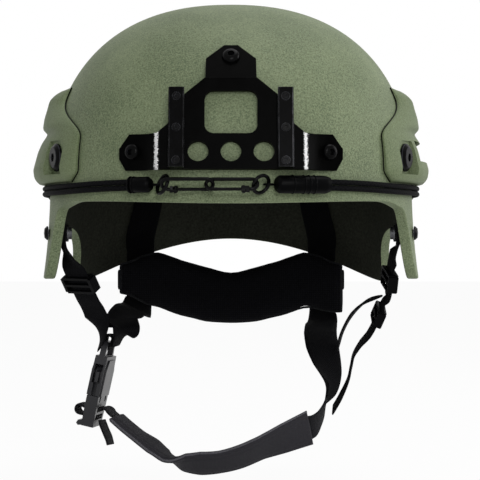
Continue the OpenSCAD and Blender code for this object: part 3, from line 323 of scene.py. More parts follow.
@dataclass(frozen=True)
class WovenTape(Finish):
    """Nylon webbing: ribs across the tape from the thick weft, with the warp's fine cords along it."""

    warp: float = 1.25 * MM
    weft: float = 1.7 * MM
    high: str = "#26262a"
    sheen: float = 0.25
    depth: float = 0.35 * MM
    dust: float = 1.111 * MM

    def dress(self, tree: Tree, surface: Node) -> None:
        """Weave the tape on its own map, whose units are metres along and across it.

        Args:
            tree: Node tree of the material.
            surface: Its principled node.
        """
        surface.inputs["Sheen Weight"].default_value = self.sheen
        surface.inputs["Sheen Roughness"].default_value = 0.45
        cloth = put(tree, "ShaderNodeUVMap").outputs[0]
        axes = put(tree, "ShaderNodeSeparateXYZ", {"0": cloth})
        # The threads are near 0.4 mm; they are drawn about three times as coarse so that they show
        per_warp, per_weft = 2 * math.pi / self.warp, 2 * math.pi / self.weft
        across = put(tree, MATH, {"0": axes.outputs[0]}, operation="MULTIPLY", i_1=per_warp)
        along = put(tree, MATH, {"0": axes.outputs[1]}, operation="MULTIPLY", i_1=per_weft)
        ridge = put(tree, MATH, {"0": across.outputs[0]}, operation="SINE")
        half = put(tree, MATH, {"0": ridge.outputs[0]}, operation="SIGN")
        step = put(tree, MATH, {"0": half.outputs[0]}, operation="MULTIPLY", i_1=math.pi / 2)
        phase = put(tree, MATH, {"0": along.outputs[0], "1": step.outputs[0]}, operation="ADD")
        pick = put(tree, MATH, {"0": phase.outputs[0]}, operation="SINE")
        width = put(tree, MATH, {"0": ridge.outputs[0]}, operation="ABSOLUTE")
        weave = put(tree, MATH, {"0": pick.outputs[0], "1": width.outputs[0]}, operation="MULTIPLY")
        share = put(tree, RANGE, {"Value": weave.outputs[0]}, i_From_Min=-1.0)
        dust = put(tree, NOISE, {"Vector": cloth}, i_Scale=1 / self.dust, i_Detail=3.0)
        soft = put(tree, MATH, {"0": share.outputs[0], "1": dust.outputs[0]}, operation="MULTIPLY")
        self.tint(tree, surface, soft.outputs[0], self.colour, self.high)
        self.relief(tree, surface, share.outputs[0], self.depth, 0.6)


@dataclass(frozen=True)
class PlainCloth(Finish):
    """Close plain-weave cloth over foam: dull, with a fine cross weave and a soft sheen."""

    thread: float = 1.3 * MM
    high: str = "#303033"
    sheen: float = 0.3
    depth: float = 0.25 * MM
    fluff: float = 1.4286 * MM

    def dress(self, tree: Tree, surface: Node) -> None:
        """Weave the cloth in the piece's own space and fluff it a little.

        Args:
            tree: Node tree of the material.
            surface: Its principled node.
        """
        surface.inputs["Sheen Weight"].default_value = self.sheen
        surface.inputs["Sheen Roughness"].default_value = 0.5
        place = put(tree, "ShaderNodeTexCoord").outputs["Object"]
        # The yarn is near 0.5 mm; it is drawn coarser so that it shows
        scale = WAVE_PERIOD / self.thread
        warp = put(tree, "ShaderNodeTexWave", {"Vector": place}, bands_direction="X", i_Scale=scale)
        weft = put(tree, "ShaderNodeTexWave", {"Vector": place}, bands_direction="Z", i_Scale=scale)
        fuzz = put(tree, NOISE, {"Vector": place}, i_Scale=1 / self.fluff, i_Detail=4.0, i_Roughness=0.7)
        grid = put(tree, MATH, {"0": warp.outputs[1], "1": weft.outputs[1]}, operation="MULTIPLY")
        rough = put(tree, MATH, {"0": grid.outputs[0], "1": fuzz.outputs[0]}, operation="ADD")
        share = put(tree, RANGE, {"Value": rough.outputs[0]}, i_From_Min=0.3, i_From_Max=1.4)
        self.tint(tree, surface, share.outputs[0], self.colour, self.high)
        self.relief(tree, surface, rough.outputs[0], self.depth, 0.5)


@dataclass(frozen=True)
class ElasticBraid(Finish):
    """Braided sleeve round elastic cord: a diamond pattern of crossing yarn bundles."""

    pitch: float = 3.2 * MM
    high: str = "#2c2c30"
    starts: int = 4
    depth: float = 0.3 * MM

    def dress(self, tree: Tree, surface: Node) -> None:
        """Cross two spirals on the cord's own map, round it and along it.

        Args:
            tree: Node tree of the material.
            surface: Its principled node.
        """
        cloth = put(tree, "ShaderNodeUVMap").outputs[0]
        axes = put(tree, "ShaderNodeSeparateXYZ", {"0": cloth})
        per_turn, per_run = 2 * math.pi * self.starts, 2 * math.pi / self.pitch
        turn = put(tree, MATH, {"0": axes.outputs[0]}, operation="MULTIPLY", i_1=per_turn)
        run = put(tree, MATH, {"0": axes.outputs[1]}, operation="MULTIPLY", i_1=per_run)
        left = put(tree, MATH, {"0": turn.outputs[0], "1": run.outputs[0]}, operation="ADD")
        right = put(tree, MATH, {"0": turn.outputs[0], "1": run.outputs[0]}, operation="SUBTRACT")
        one = put(tree, MATH, {"0": left.outputs[0]}, operation="SINE")
        two = put(tree, MATH, {"0": right.outputs[0]}, operation="SINE")
        top = put(tree, MATH, {"0": one.outputs[0], "1": two.outputs[0]}, operation="MAXIMUM")
        share = put(tree, RANGE, {"Value": top.outputs[0]}, i_From_Min=-0.6)
        self.tint(tree, surface, share.outputs[0], self.colour, self.high)
        self.relief(tree, surface, share.outputs[0], self.depth, 0.6)


@dataclass(frozen=True)
class BentPlateCoat(BlackCoat):
    """The plate's black coat, with a ragged bright line along the bends of its ears: a painted highlight."""

    # Place and half width of the painted highlight line on each bend, its colour, and the grain, swing and
    # blur of its ragged edge
    bend_x: float = 43.8 * MM
    half: float = 1.0 * MM
    bare: str = "#f4f4f4"
    crack: float = 0.9091 * MM
    stray: float = 1.6 * MM
    blur: float = 0.25 * MM

    def dress(self, tree: Tree, surface: Node) -> None:
        """Coat the plate and lay a ragged painted highlight line on each bend.

        Args:
            tree: Node tree of the material.
            surface: Its principled node.
        """
        super().dress(tree, surface)
        place = put(tree, "ShaderNodeTexCoord").outputs["Object"]
        axes = put(tree, "ShaderNodeSeparateXYZ", {"0": place})
        side = put(tree, MATH, {"0": axes.outputs[0]}, operation="ABSOLUTE")
        shift = put(tree, MATH, {"0": side.outputs[0]}, operation="SUBTRACT", i_1=self.bend_x)
        away = put(tree, MATH, {"0": shift.outputs[0]}, operation="ABSOLUTE")
        crack = put(tree, NOISE, {"Vector": place}, i_Scale=1 / self.crack, i_Detail=2.0)
        swing = {"i_1": 2 * self.stray, "i_2": -self.stray}
        ragged = put(tree, MATH, {"0": crack.outputs[0]}, operation="MULTIPLY_ADD", **swing)
        edge = put(tree, MATH, {"0": away.outputs[0], "1": ragged.outputs[0]}, operation="ADD")
        outer, inner = self.half + self.blur, self.half - self.blur
        share = put(tree, RANGE, {"Value": edge.outputs[0]}, i_From_Min=outer, i_From_Max=inner)
        # The bend's painted highlight is mixed over the coat's colour
        coat = surface.inputs["Base Color"].links[0].from_socket
        links = {"0": share.outputs[0], "6": coat}
        both = put(tree, MIX, links, data_type="RGBA", i_7=linear(self.bare))
        tree.links.new(both.outputs[2], surface.inputs["Base Color"])


@dataclass(frozen=True)
class FloorPaint(Finish):
    """Plain white studio floor that shows white to the camera and keeps a soft shadow."""

    share: float = 0.95

    def dress(self, tree: Tree, surface: Node) -> None:
        """Mix the lit paint with plain white on rays that see the background.

        Args:
            tree: Node tree of the material.
            surface: Its principled node.
        """
        white = put(tree, "ShaderNodeEmission", i_Strength=1.0)
        part = put(tree, MATH, {"0": seen_share(tree)}, operation="MULTIPLY", i_1=self.share)
        links = {"0": part.outputs[0], "1": surface.outputs[0], "2": white.outputs[0]}
        both = put(tree, "ShaderNodeMixShader", links)
        output = next(n for n in tree.nodes if n.bl_idname == "ShaderNodeOutputMaterial")
        tree.links.new(both.outputs[0], output.inputs[0])


def seen_share(tree: Tree) -> Socket:
    """Share that is 1 on rays of the camera, of reflections and through glass.

    Args:
        tree: Node tree of a material or a world.

    Returns:
        Socket of the share.
    """
    rays = put(tree, "ShaderNodeLightPath").outputs
    links = {"0": rays["Is Camera Ray"], "1": rays["Is Glossy Ray"]}
    both = put(tree, MATH, links, operation="MAXIMUM")
    links = {"0": both.outputs[0], "1": rays["Is Transmission Ray"]}
    every = put(tree, MATH, links, operation="MAXIMUM")
    return every.outputs[0]


# Sprayed two-part paint over the moulded shell: dull olive, speckled darker and lighter by its sand
SHELL_PAINT = SprayedPaint(
    "sprayed_olive_paint", "#6b7858", 0.6, "#8a9674", "#546145", 1.0 * MM, 0.7 * MM, mirror=0.32
)
# The same paint misted inside, over bare laminate: nearly black, with hardly any shine
LINER_PAINT = SprayedPaint(
    "dark_inner_paint", "#2b2c28", 0.85, "#363830", "#252620", 1.6 * MM, 0.15 * MM, mirror=0.08
)
# Moulded nylon painted with the shell: the same olive with a finer, flatter speckle
RAIL_NYLON = SprayedPaint(
    "moulded_olive_nylon", "#687655", 0.6, "#7b8766", "#596646", 0.9 * MM, 0.4 * MM, mirror=0.3
)
# Anodised aluminium sheet: deep satin black, grey along its edges, partly wear and partly painted highlight,
# with a bright painted highlight line along each bend
PLATE_COAT = BentPlateCoat("black_anodised_plate", "#010101", 0.3, "#48494c", "#050505", mirror=0.012)
# Anodised bar, milled and much used: black faces between pale grey edges that draw its outline, partly wear
# and partly painted highlight
BAR_COAT = BlackCoat("black_anodised_bars", "#020202", 0.25, "#8a8b90", "#060607", mirror=0.02)
# Blackened steel: oily black with a small sharp shine, and drive edges drawn paler, partly wear and partly
# painted highlight
SCREW_COAT = BlackCoat("black_oxide_steel", "#020202", 0.2, "#34353a", "#060607", mirror=0.05)
# Zinc-plated steel, tarnished: cloudy middle grey
NUT_ZINC = BlackCoat("dull_zinc_steel", "#4b4c4e", 0.45, "#6a6b6d", "#5a5b5e", 0.8)
# Steel wire under thick lacquer: wet-looking black with soft round edges
WIRE_COAT = BlackCoat("black_lacquered_wire", "#020202", 0.18, "#55565a", "#060607", mirror=0.07)
# Injection-moulded acetal, grey: waxy satin with a broad soft highlight
BUCKLE_NYLON = MouldedNylon("moulded_grey_acetal", "#262629", 0.34, mirror=0.25)
# Injection-moulded acetal, black: the same wax, too dark to show more than its edges
SLIDER_NYLON = MouldedNylon("moulded_black_acetal", "#050506", 0.4, mirror=0.04)
# Woven nylon webbing, dyed black: almost no shine, with ribs that only just show
STRAP_TAPE = WovenTape("woven_black_webbing", "#050506", 0.8, high="#1f1f22", sheen=0.01, mirror=0.03)
# Woven nylon webbing, greyer from handling: each rib is plain to see
CHIN_TAPE = WovenTape("woven_chin_webbing", "#09090b", 0.75, high="#3c3c41", sheen=0.02, mirror=0.06)
# Brushed knit bonded to foam: even charcoal grey, soft and slightly warm
CUP_CLOTH = PlainCloth("chin_cup_cloth", "#2f2e32", 0.8, 0.9 * MM, "#3b3a3f", 0.02, 0.1 * MM, mirror=0.1)
# Plain-weave nylon over foam, dyed black: a dead black that shows its weave only close by
NAPE_CLOTH = PlainCloth("nape_pad_cloth", "#08080a", 0.9, 1.5 * MM, "#19191c", 0.01, mirror=0.03)
# Wicking cloth over foam: matt dark grey with an open weave
PAD_CLOTH = PlainCloth("suspension_pad_cloth", "#26282a", 0.9, 1.6 * MM, "#383a3c", 0.05, mirror=0.1)
# Hook-and-loop tape and edge piping: fuzzy black
LOOP_CLOTH = PlainCloth("loop_tape_cloth", "#121315", 0.95, 1.0 * MM, "#252628", 0.05, mirror=0.05)
# Sewn tape over the cup's edge: a thin line round the darker cloth, drawn pale grey as a painted highlight
# along the edges
HIGHLIT_BINDING = PlainCloth("chin_cup_binding", "#46454a", 0.75, 0.9 * MM, "#747379", 0.02, mirror=0.12)
# Braided polyester over rubber: black with a faint diamond pattern
ELASTIC = ElasticBraid("braided_black_elastic", "#030304", 0.7, high="#131315", mirror=0.03)
# Moulded rubber: black with a slight greasy shine on its ribs
SLEEVE_RUBBER = MouldedNylon("ribbed_black_rubber", "#040405", 0.34, 0.6 * MM, mirror=0.03)
# Matt emulsion on a studio floor: plain white
FLOOR_PAINT = FloorPaint("pale_floor_paint", "#fdfdfc", 0.9)


# Mesh making


def object_from(form: Form, name: str, finish: Finish, angle: float = 180.0) -> Piece:
    """Store a finished form as an object at the origin.

    Args:
        form: The form, which is freed.
        name: Name of the object.
        finish: Its finish.
        angle: Edges sharper than this many degrees stay crisp.

    Returns:
        The linked object.
    """
    for face in form.faces:
        face.smooth = True
    if angle < 180:
        limit = math.radians(angle)
        for edge in form.edges:
            edge.smooth = len(edge.link_faces) == 2 and edge.calc_face_angle(0.0) < limit
    mesh = bpy.data.meshes.new(name)
    form.to_mesh(mesh)
    form.free()
    made = bpy.data.objects.new(name, mesh)
    bpy.context.scene.collection.objects.link(made)
    mesh.materials.append(finish.build())
    return made


def modifier(piece: Piece, kind: str, **settings: object) -> None:
    """Add a live modifier with its settings.

    Args:
        piece: The object.
        kind: Type of the modifier.
        settings: Its settings, by their names.
    """
    made = piece.modifiers.new(kind.lower(), kind)
    for key, value in settings.items():
        setattr(made, key, value)


def rounded(piece: Piece, levels: int = 1) -> Piece:
    """Finish a piece with a subdivision surface and return it."""
    modifier(piece, "SUBSURF", levels=levels, render_levels=levels)
    return piece


def mapped_grid(columns: int, rows: int, place: Place, scale: Pair = (1, 1)) -> Form:
    """Lay a grid on a surface.

    Args:
        columns: Cells along the first share.
        rows: Cells along the second share.
        place: Point of the surface for two shares from 0 to 1.
        scale: Size of the map that the shares are turned into.

    Returns:
        The form with its own map.
    """
    form = flat_grid(columns, rows)
    for vert, (u, v) in lay_map(form, scale).items():
        vert.co = place(u, v)
    return form


def flat_grid(columns: int, rows: int) -> Form:
    """Make a grid of side 1 that has an empty map.

    Args:
        columns: Cells along X.
        rows: Cells along Y.

    Returns:
        The form.
    """
    form = bmesh.new()
    form.loops.layers.uv.new("UVMap")
    bmesh.ops.create_grid(form, x_segments=columns, y_segments=rows, size=0.5)
    return form


def lay_map(form: Form, scale: Pair) -> dict[bmesh.types.BMVert, Pair]:
    """Fill the map of a flat grid.

    Args:
        form: The grid of side 1.
        scale: Size of the map.

    Returns:
        The two shares of each vertex, from 0 to 1.
    """
    chart = form.loops.layers.uv.active
    shares = {v: (v.co.x + 0.5, v.co.y + 0.5) for v in form.verts}
    for face in form.faces:
        for loop in face.loops:
            u, v = shares[loop.vert]
            loop[chart].uv = (u * scale[0], v * scale[1])
    return shares


def thick_grid(columns: int, rows: int, top: Place, bottom: Place, scale: Pair = (1, 1)) -> Form:
    """Make a closed form between two surfaces over the same shares.

    Args:
        columns: Cells along the first share.
        rows: Cells along the second share.
        top: The upper surface.
        bottom: The lower surface.
        scale: Size of the map that the shares are turned into.

    Returns:
        The form with its own map.
    """
    form = flat_grid(columns, rows)
    lower = list(form.verts)
    made = bmesh.ops.extrude_face_region(form, geom=list(form.faces), use_keep_orig=True)["geom"]
    upper = {v for v in made if isinstance(v, bmesh.types.BMVert)}
    shares = lay_map(form, scale)
    for vert in upper:
        vert.co = top(*shares[vert])
    for vert in lower:
        vert.co = bottom(*shares[vert])
    bmesh.ops.recalc_face_normals(form, faces=list(form.faces))
    return form


# Thickness of the lacquer on wire, in millimetres
LACQUER = 0.2


def refined(frame: dict, node: str, finish: Finish, bevel: float = 0.35, angle: float = 38.0) -> Piece:
    """Copy a rigid solid, clean it and round its edges as its mould or cutter does.

    On a black coat the rounding itself takes the coat's paler edge finish, partly handling wear and partly
    painted highlight.
    Lacquer thickens wire, so a wire's skin moves out by the lacquer.

    Args:
        frame: The loaded frame.
        node: Name of the solid.
        finish: Its finish.
        bevel: Edge radius in millimetres, or 0 for none.
        angle: Edges sharper than this many degrees are rounded.

    Returns:
        The piece that stands for the solid.
    """
    form = bmesh.new()
    form.from_mesh(frame["nodes"][node].data)
    bmesh.ops.remove_doubles(form, verts=list(form.verts), dist=2e-6)
    flat = math.radians(0.4)
    bmesh.ops.dissolve_limit(form, angle_limit=flat, verts=list(form.verts), edges=list(form.edges))
    piece = object_from(form, f"{node}_finished", finish, angle)
    if bevel:
        modifier(
            piece, "BEVEL", width=bevel * MM, segments=2, limit_method="ANGLE",
            angle_limit=math.radians(angle), profile=0.5, use_clamp_overlap=True, harden_normals=True,
        )
        # The rounded edges of a black coat are drawn paler: partly wear, partly painted highlight
        if isinstance(finish, BlackCoat):
            piece.data.materials.append(finish.rubbed().build())
            piece.modifiers[-1].material = 1
    if finish is WIRE_COAT:
        modifier(piece, "DISPLACE", strength=LACQUER * MM, mid_level=0.0)
    return keep(frame, piece, node)


def body_of(frame: dict, node: str) -> str:
    """Name of the body that carries a node."""
    groups = frame["record"]["behaviour"]["bodies"]
    return next(body for body, members in groups.items() if node in members)


def keep(frame: dict, piece: Piece, *nodes: str) -> Piece:
    """Let a piece ride on its first node's body and stand for all the nodes.

    Args:
        frame: The loaded frame.
        piece: The finished piece.
        nodes: Names of the solids that it stands for.

    Returns:
        The piece.
    """
    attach(piece, body_of(frame, nodes[0]))
    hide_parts(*nodes)
    LOG.info("%s stands for %s", piece.name, ", ".join(nodes))
    return piece


def trim(piece: Piece, body: str = "helmet") -> None:
    """Let a piece of trim that stands for no node ride on a body.

    Args:
        piece: The finished piece.
        body: Name of the body.
    """
    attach(piece, body)
    LOG.info("%s rides on %s", piece.name, body)


# The shell's curves, from the same sizes as the solids


@dataclass(frozen=True)
class ShellCurves:
    """Curves of the shell, in millimetres and degrees from the front."""

    width: float = 237.0
    length: float = 280.0
    crown: float = 178.5
    wall: float = 7.0
    equator: float = 60.0
    brim: float = 46.5
    nape: float = 26.0
    arch: float = 36.0
    lobe: float = -4.0
    flare_out: float = 3.0
    flap_flare: float = 4.6
    dome_exp: float = 2.35
    plan_exp: float = 2.2
    arch_start: float = 86.0
    arch_end: float = 120.5
    brow_rise: float = 2.0
    brow_side: float = 45.0
    brow_dip: float = 4.0
    brow_dip_run: float = 14.0
    flap_from: float = 57.0
    flap_turn: float = 15.0
    brim_band: float = 12.0

    def edge(self, azimuth: float) -> float:
        """Height of the lower edge at an azimuth.

        Args:
            azimuth: Azimuth from the front.

        Returns:
            The height.
        """
        a = abs(azimuth)
        if a < self.arch_start:
            dip = self.brow_dip * smooth((a - self.brow_side) / self.brow_dip_run)
            brow = self.brim + self.brow_rise * smooth(a / self.brow_side) - dip
            return mix(brow, 0, smooth((a - self.flap_from) / self.flap_turn))
        if a < self.arch_end:
            half = (self.arch_end - self.arch_start) / 2
            u = (a - self.arch_start - half) / half
            return mix(0, self.lobe, (u + 1) / 2) + self.arch * max(0.0, 1 - u**4) ** 0.25
        return mix(self.lobe, self.nape, smooth(((a - self.arch_end) / (180 - self.arch_end)) ** 0.88))

    def plan(self, azimuth: float, half_x: float, half_y: float) -> tuple[float, float]:
        """Point of the plan's rounded outline with two half sizes.

        Args:
            azimuth: Azimuth from the front.
            half_x: Half the outline's width.
            half_y: Half the outline's length.

        Returns:
            X and Y of the point.
        """
        s, c = math.sin(math.radians(azimuth)), math.cos(math.radians(azimuth))
        total = (abs(s) / half_x) ** self.plan_exp + (abs(c) / half_y) ** self.plan_exp
        reach = total ** (-1 / self.plan_exp)
        return reach * s, -reach * c

    def at(self, azimuth: float, height: float, out: float = 0.0) -> Vector:
        """Point of the wall at a height, moved outwards, in metres.

        Args:
            azimuth: Azimuth from the front.
            height: Height of the point.
            out: Distance off the wall.

        Returns:
            The point.
        """
        rise = max(0.0, (height - self.equator) / (self.crown - self.equator))
        share = max(0.0, 1 - rise**self.dome_exp) ** (1 / self.dome_exp)
        s, c = math.sin(math.radians(azimuth)), math.cos(math.radians(azimuth))
        flare = self.flap_flare * (max(0.0, 1 - height / self.equator) * s) ** 2
        low = min(1.0, max(0.0, (self.brim + self.brim_band - height) / self.brim_band))
        flare += self.flare_out * (max(0.0, c) * low) ** 2
        x, y = self.plan(azimuth, self.width / 2 * share + flare + out, self.length / 2 * share + flare + out)
        return Vector((x, y, height)) * MM

    def dome(self, azimuth: float, elevation: float, depth: float) -> Vector:
        """Point of the dome by elevation, a depth inside it, in metres.

        Args:
            azimuth: Azimuth from the front.
            elevation: Angle above the equator.
            depth: Distance inside the dome.

        Returns:
            The point.
        """
        ring = max(0.0, math.cos(math.radians(elevation))) ** (2 / self.dome_exp)
        rise = max(0.0, math.sin(math.radians(elevation))) ** (2 / self.dome_exp)
        # The plan has no outline for a size of nothing, so the crown keeps a thousandth of a millimetre
        half_x, half_y = (self.width / 2 - depth) * ring + 0.001, (self.length / 2 - depth) * ring + 0.001
        x, y = self.plan(azimuth, half_x, half_y)
        return Vector((x, y, self.equator + (self.crown - self.equator - depth) * rise)) * MM

    def under_crown(self, x: float, y: float, depth: float) -> Vector:
        """Point under the crown above a place in the plan, in metres.

        Args:
            x: X of the place.
            y: Y of the place.
            depth: Distance inside the dome.

        Returns:
            The point.
        """
        half_x, half_y = self.width / 2 - depth, self.length / 2 - depth
        total = (abs(x) / half_x) ** self.plan_exp + (abs(y) / half_y) ** self.plan_exp
        ring = total ** (1 / self.plan_exp)
        rise = (1 - ring**self.dome_exp) ** (1 / self.dome_exp)
        return Vector((x, y, self.equator + (self.crown - self.equator - depth) * rise)) * MM

    def turn(self, azimuth: float, height: float) -> float:
        """Turn about Z, in radians, that carries -Y to the wall's outward normal."""
        step = self.at(azimuth + 0.5, height) - self.at(azimuth - 0.5, height)
        return math.atan2(step.y, step.x)

    def seat(self, azimuth: float, height: float, out: float = 0.0) -> Matrix:
        """Frame on the wall whose -Y points out of the shell.

        Args:
            azimuth: Azimuth from the front.
            height: Height of the point.
            out: Distance off the wall.

        Returns:
            The frame, in metres.
        """
        turn = self.turn(azimuth, height)
        away = Vector((math.sin(turn), -math.cos(turn), 0)) * out * MM
        return Matrix.Translation(self.at(azimuth, height) + away) @ Matrix.Rotation(turn, 4, "Z")


CURVES = ShellCurves()


@dataclass
class Shell:
    """The moulded shell with its painted outside, rounded edge and dark inside."""

    curves: ShellCurves = CURVES
    dome_rows: int = 26
    skirt_rows: int = 9
    rim_rows: int = 4
    columns: list[float] = field(init=False)

    def __post_init__(self) -> None:
        """Choose azimuths that crowd where the edge turns fast."""
        half = [i * 3.0 for i in range(15)] + [45 + i * 1.5 for i in range(27)]
        start, end = self.curves.arch_start, self.curves.arch_end
        half += [(start + end) / 2 - (end - start) / 2 * math.cos(math.pi * i / 26) for i in range(27)]
        half += [end + (180 - end) * i / 22 for i in range(1, 23)]
        self.columns = half + [360 - a for a in half[-2:0:-1]]

    def row(self, azimuth: float, index: int, depth: float) -> Vector:
        """Point of one meridian, from the crown to the edge.

        Args:
            azimuth: Azimuth from the front.
            index: Number of the row from the crown.
            depth: Distance inside the outer face.

        Returns:
            The point, in metres.
        """
        if index <= self.dome_rows:
            return self.curves.dome(azimuth, 90 - 90 * index / self.dome_rows, depth)
        share = (index - self.dome_rows) / self.skirt_rows
        edge = self.curves.edge(azimuth if azimuth <= 180 else azimuth - 360)
        # Rows crowd towards the edge, so that its rounding stays small
        eased = 1 - (1 - share) ** 1.5
        return self.curves.at(azimuth, mix(self.curves.equator, edge, eased), -depth)

    def place(self, column: int, level: int) -> Vector:
        """Point for a column and a level that runs down outside, round the edge and up inside.

        Args:
            column: Number of the meridian.
            level: Number of the level.

        Returns:
            The point, in metres.
        """
        azimuth = self.columns[column % len(self.columns)]
        last = self.dome_rows + self.skirt_rows
        if level <= last:
            return self.row(azimuth, level, 0)
        if level < last + self.rim_rows:
            outer, inner = self.row(azimuth, last, 0), self.row(azimuth, last, self.curves.wall)
            return outer.lerp(inner, (level - last) / self.rim_rows)
        return self.row(azimuth, 2 * last + self.rim_rows - level, self.curves.wall)

    def build(self, frame: dict) -> None:
        """Make the shell and stand it in for the solid.

        Args:
            frame: The loaded frame.
        """
        levels = 2 * (self.dome_rows + self.skirt_rows) + self.rim_rows
        count = len(self.columns)
        form = mapped_grid(count, levels, lambda u, v: self.place(round(u * count), round(v * levels)))
        bmesh.ops.remove_doubles(form, verts=list(form.verts), dist=1e-5)
        bands = form.loops.layers.uv.active
        inside_from = (self.dome_rows + self.skirt_rows + self.rim_rows) / levels
        inner = [sum(c[bands].uv.y for c in f.loops) / len(f.loops) > inside_from for f in form.faces]
        bmesh.ops.recalc_face_normals(form, faces=list(form.faces))
        piece = object_from(form, "shell_painted", SHELL_PAINT)
        piece.data.materials.append(LINER_PAINT.build())
        for face, dark in zip(piece.data.polygons, inner):
            face.material_index = int(dark)
        rounded(piece)
        keep(frame, piece, "shell")


# Cutting


def bake(piece: Piece) -> None:
    """Put a piece's modifiers into its mesh.

    Args:
        piece: The piece, whose modifiers are used up.
    """
    shown = piece.evaluated_get(bpy.context.evaluated_depsgraph_get())
    mesh = bpy.data.meshes.new_from_object(shown)
    old = piece.data
    piece.modifiers.clear()
    piece.data = mesh
    bpy.data.meshes.remove(old)


def carve(piece: Piece, cutters: Sequence[Piece], angle: float = 38.0) -> None:
    """Cut closed shapes out of a piece and keep the cut edges crisp.

    Args:
        piece: The piece.
        cutters: The closed shapes, which are removed.
        angle: Edges sharper than this many degrees stay crisp.
    """
    for cutter in cutters:
        modifier(piece, "BOOLEAN", operation="DIFFERENCE", object=cutter, solver="EXACT")
    bake(piece)
    for cutter in cutters:
        mesh = cutter.data
        bpy.data.objects.remove(cutter)
        bpy.data.meshes.remove(mesh)
    form = bmesh.new()
    form.from_mesh(piece.data)
    limit = math.radians(angle)
    for face in form.faces:
        face.smooth = True
    for edge in form.edges:
        edge.smooth = len(edge.link_faces) == 2 and edge.calc_face_angle(0.0) < limit
    form.to_mesh(piece.data)
    form.free()


def block(seat: Matrix, low: Triple, high: Triple, finish: Finish) -> Piece:
    """Make a box in a frame, from two corners in millimetres.

    Args:
        seat: The frame.
        low: Lowest corner.
        high: Highest corner.
        finish: Its finish.

    Returns:
        The box.
    """
    size = [(h - l) * MM for l, h in zip(low, high)]
    middle = Vector([(h + l) / 2 for l, h in zip(low, high)]) * MM
    lay = seat @ Matrix.Translation(middle) @ Matrix.Diagonal([*size, 1])
    form = bmesh.new()
    bmesh.ops.create_cube(form, size=1, matrix=lay)
    return object_from(form, "block", finish, 30)


def rod(seat: Matrix, radius: float, low: float, high: float, finish: Finish) -> Piece:
    """Make a cylinder along a frame's Y, from one place to another in millimetres.

    Args:
        seat: The frame.
        radius: Radius of the cylinder.
        low: Place of one end.
        high: Place of the other end.
        finish: Its finish.

    Returns:
        The cylinder.
    """
    lay = seat @ Matrix.Translation((0, (low + high) / 2 * MM, 0)) @ Matrix.Rotation(math.pi / 2, 4, "X")
    form = bmesh.new()
    bmesh.ops.create_cone(
        form, cap_ends=True, segments=32, radius1=radius * MM, radius2=radius * MM, depth=(high - low) * MM,
        matrix=lay,
    )
    return object_from(form, "rod", finish, 30)


# Rails

# A hollow that bends with the shell: its azimuths, its heights, and how far its floor and its mouth stand off
# the shell at the lower and at the upper height
Hollow = tuple[Pair, Pair, Pair, Pair]


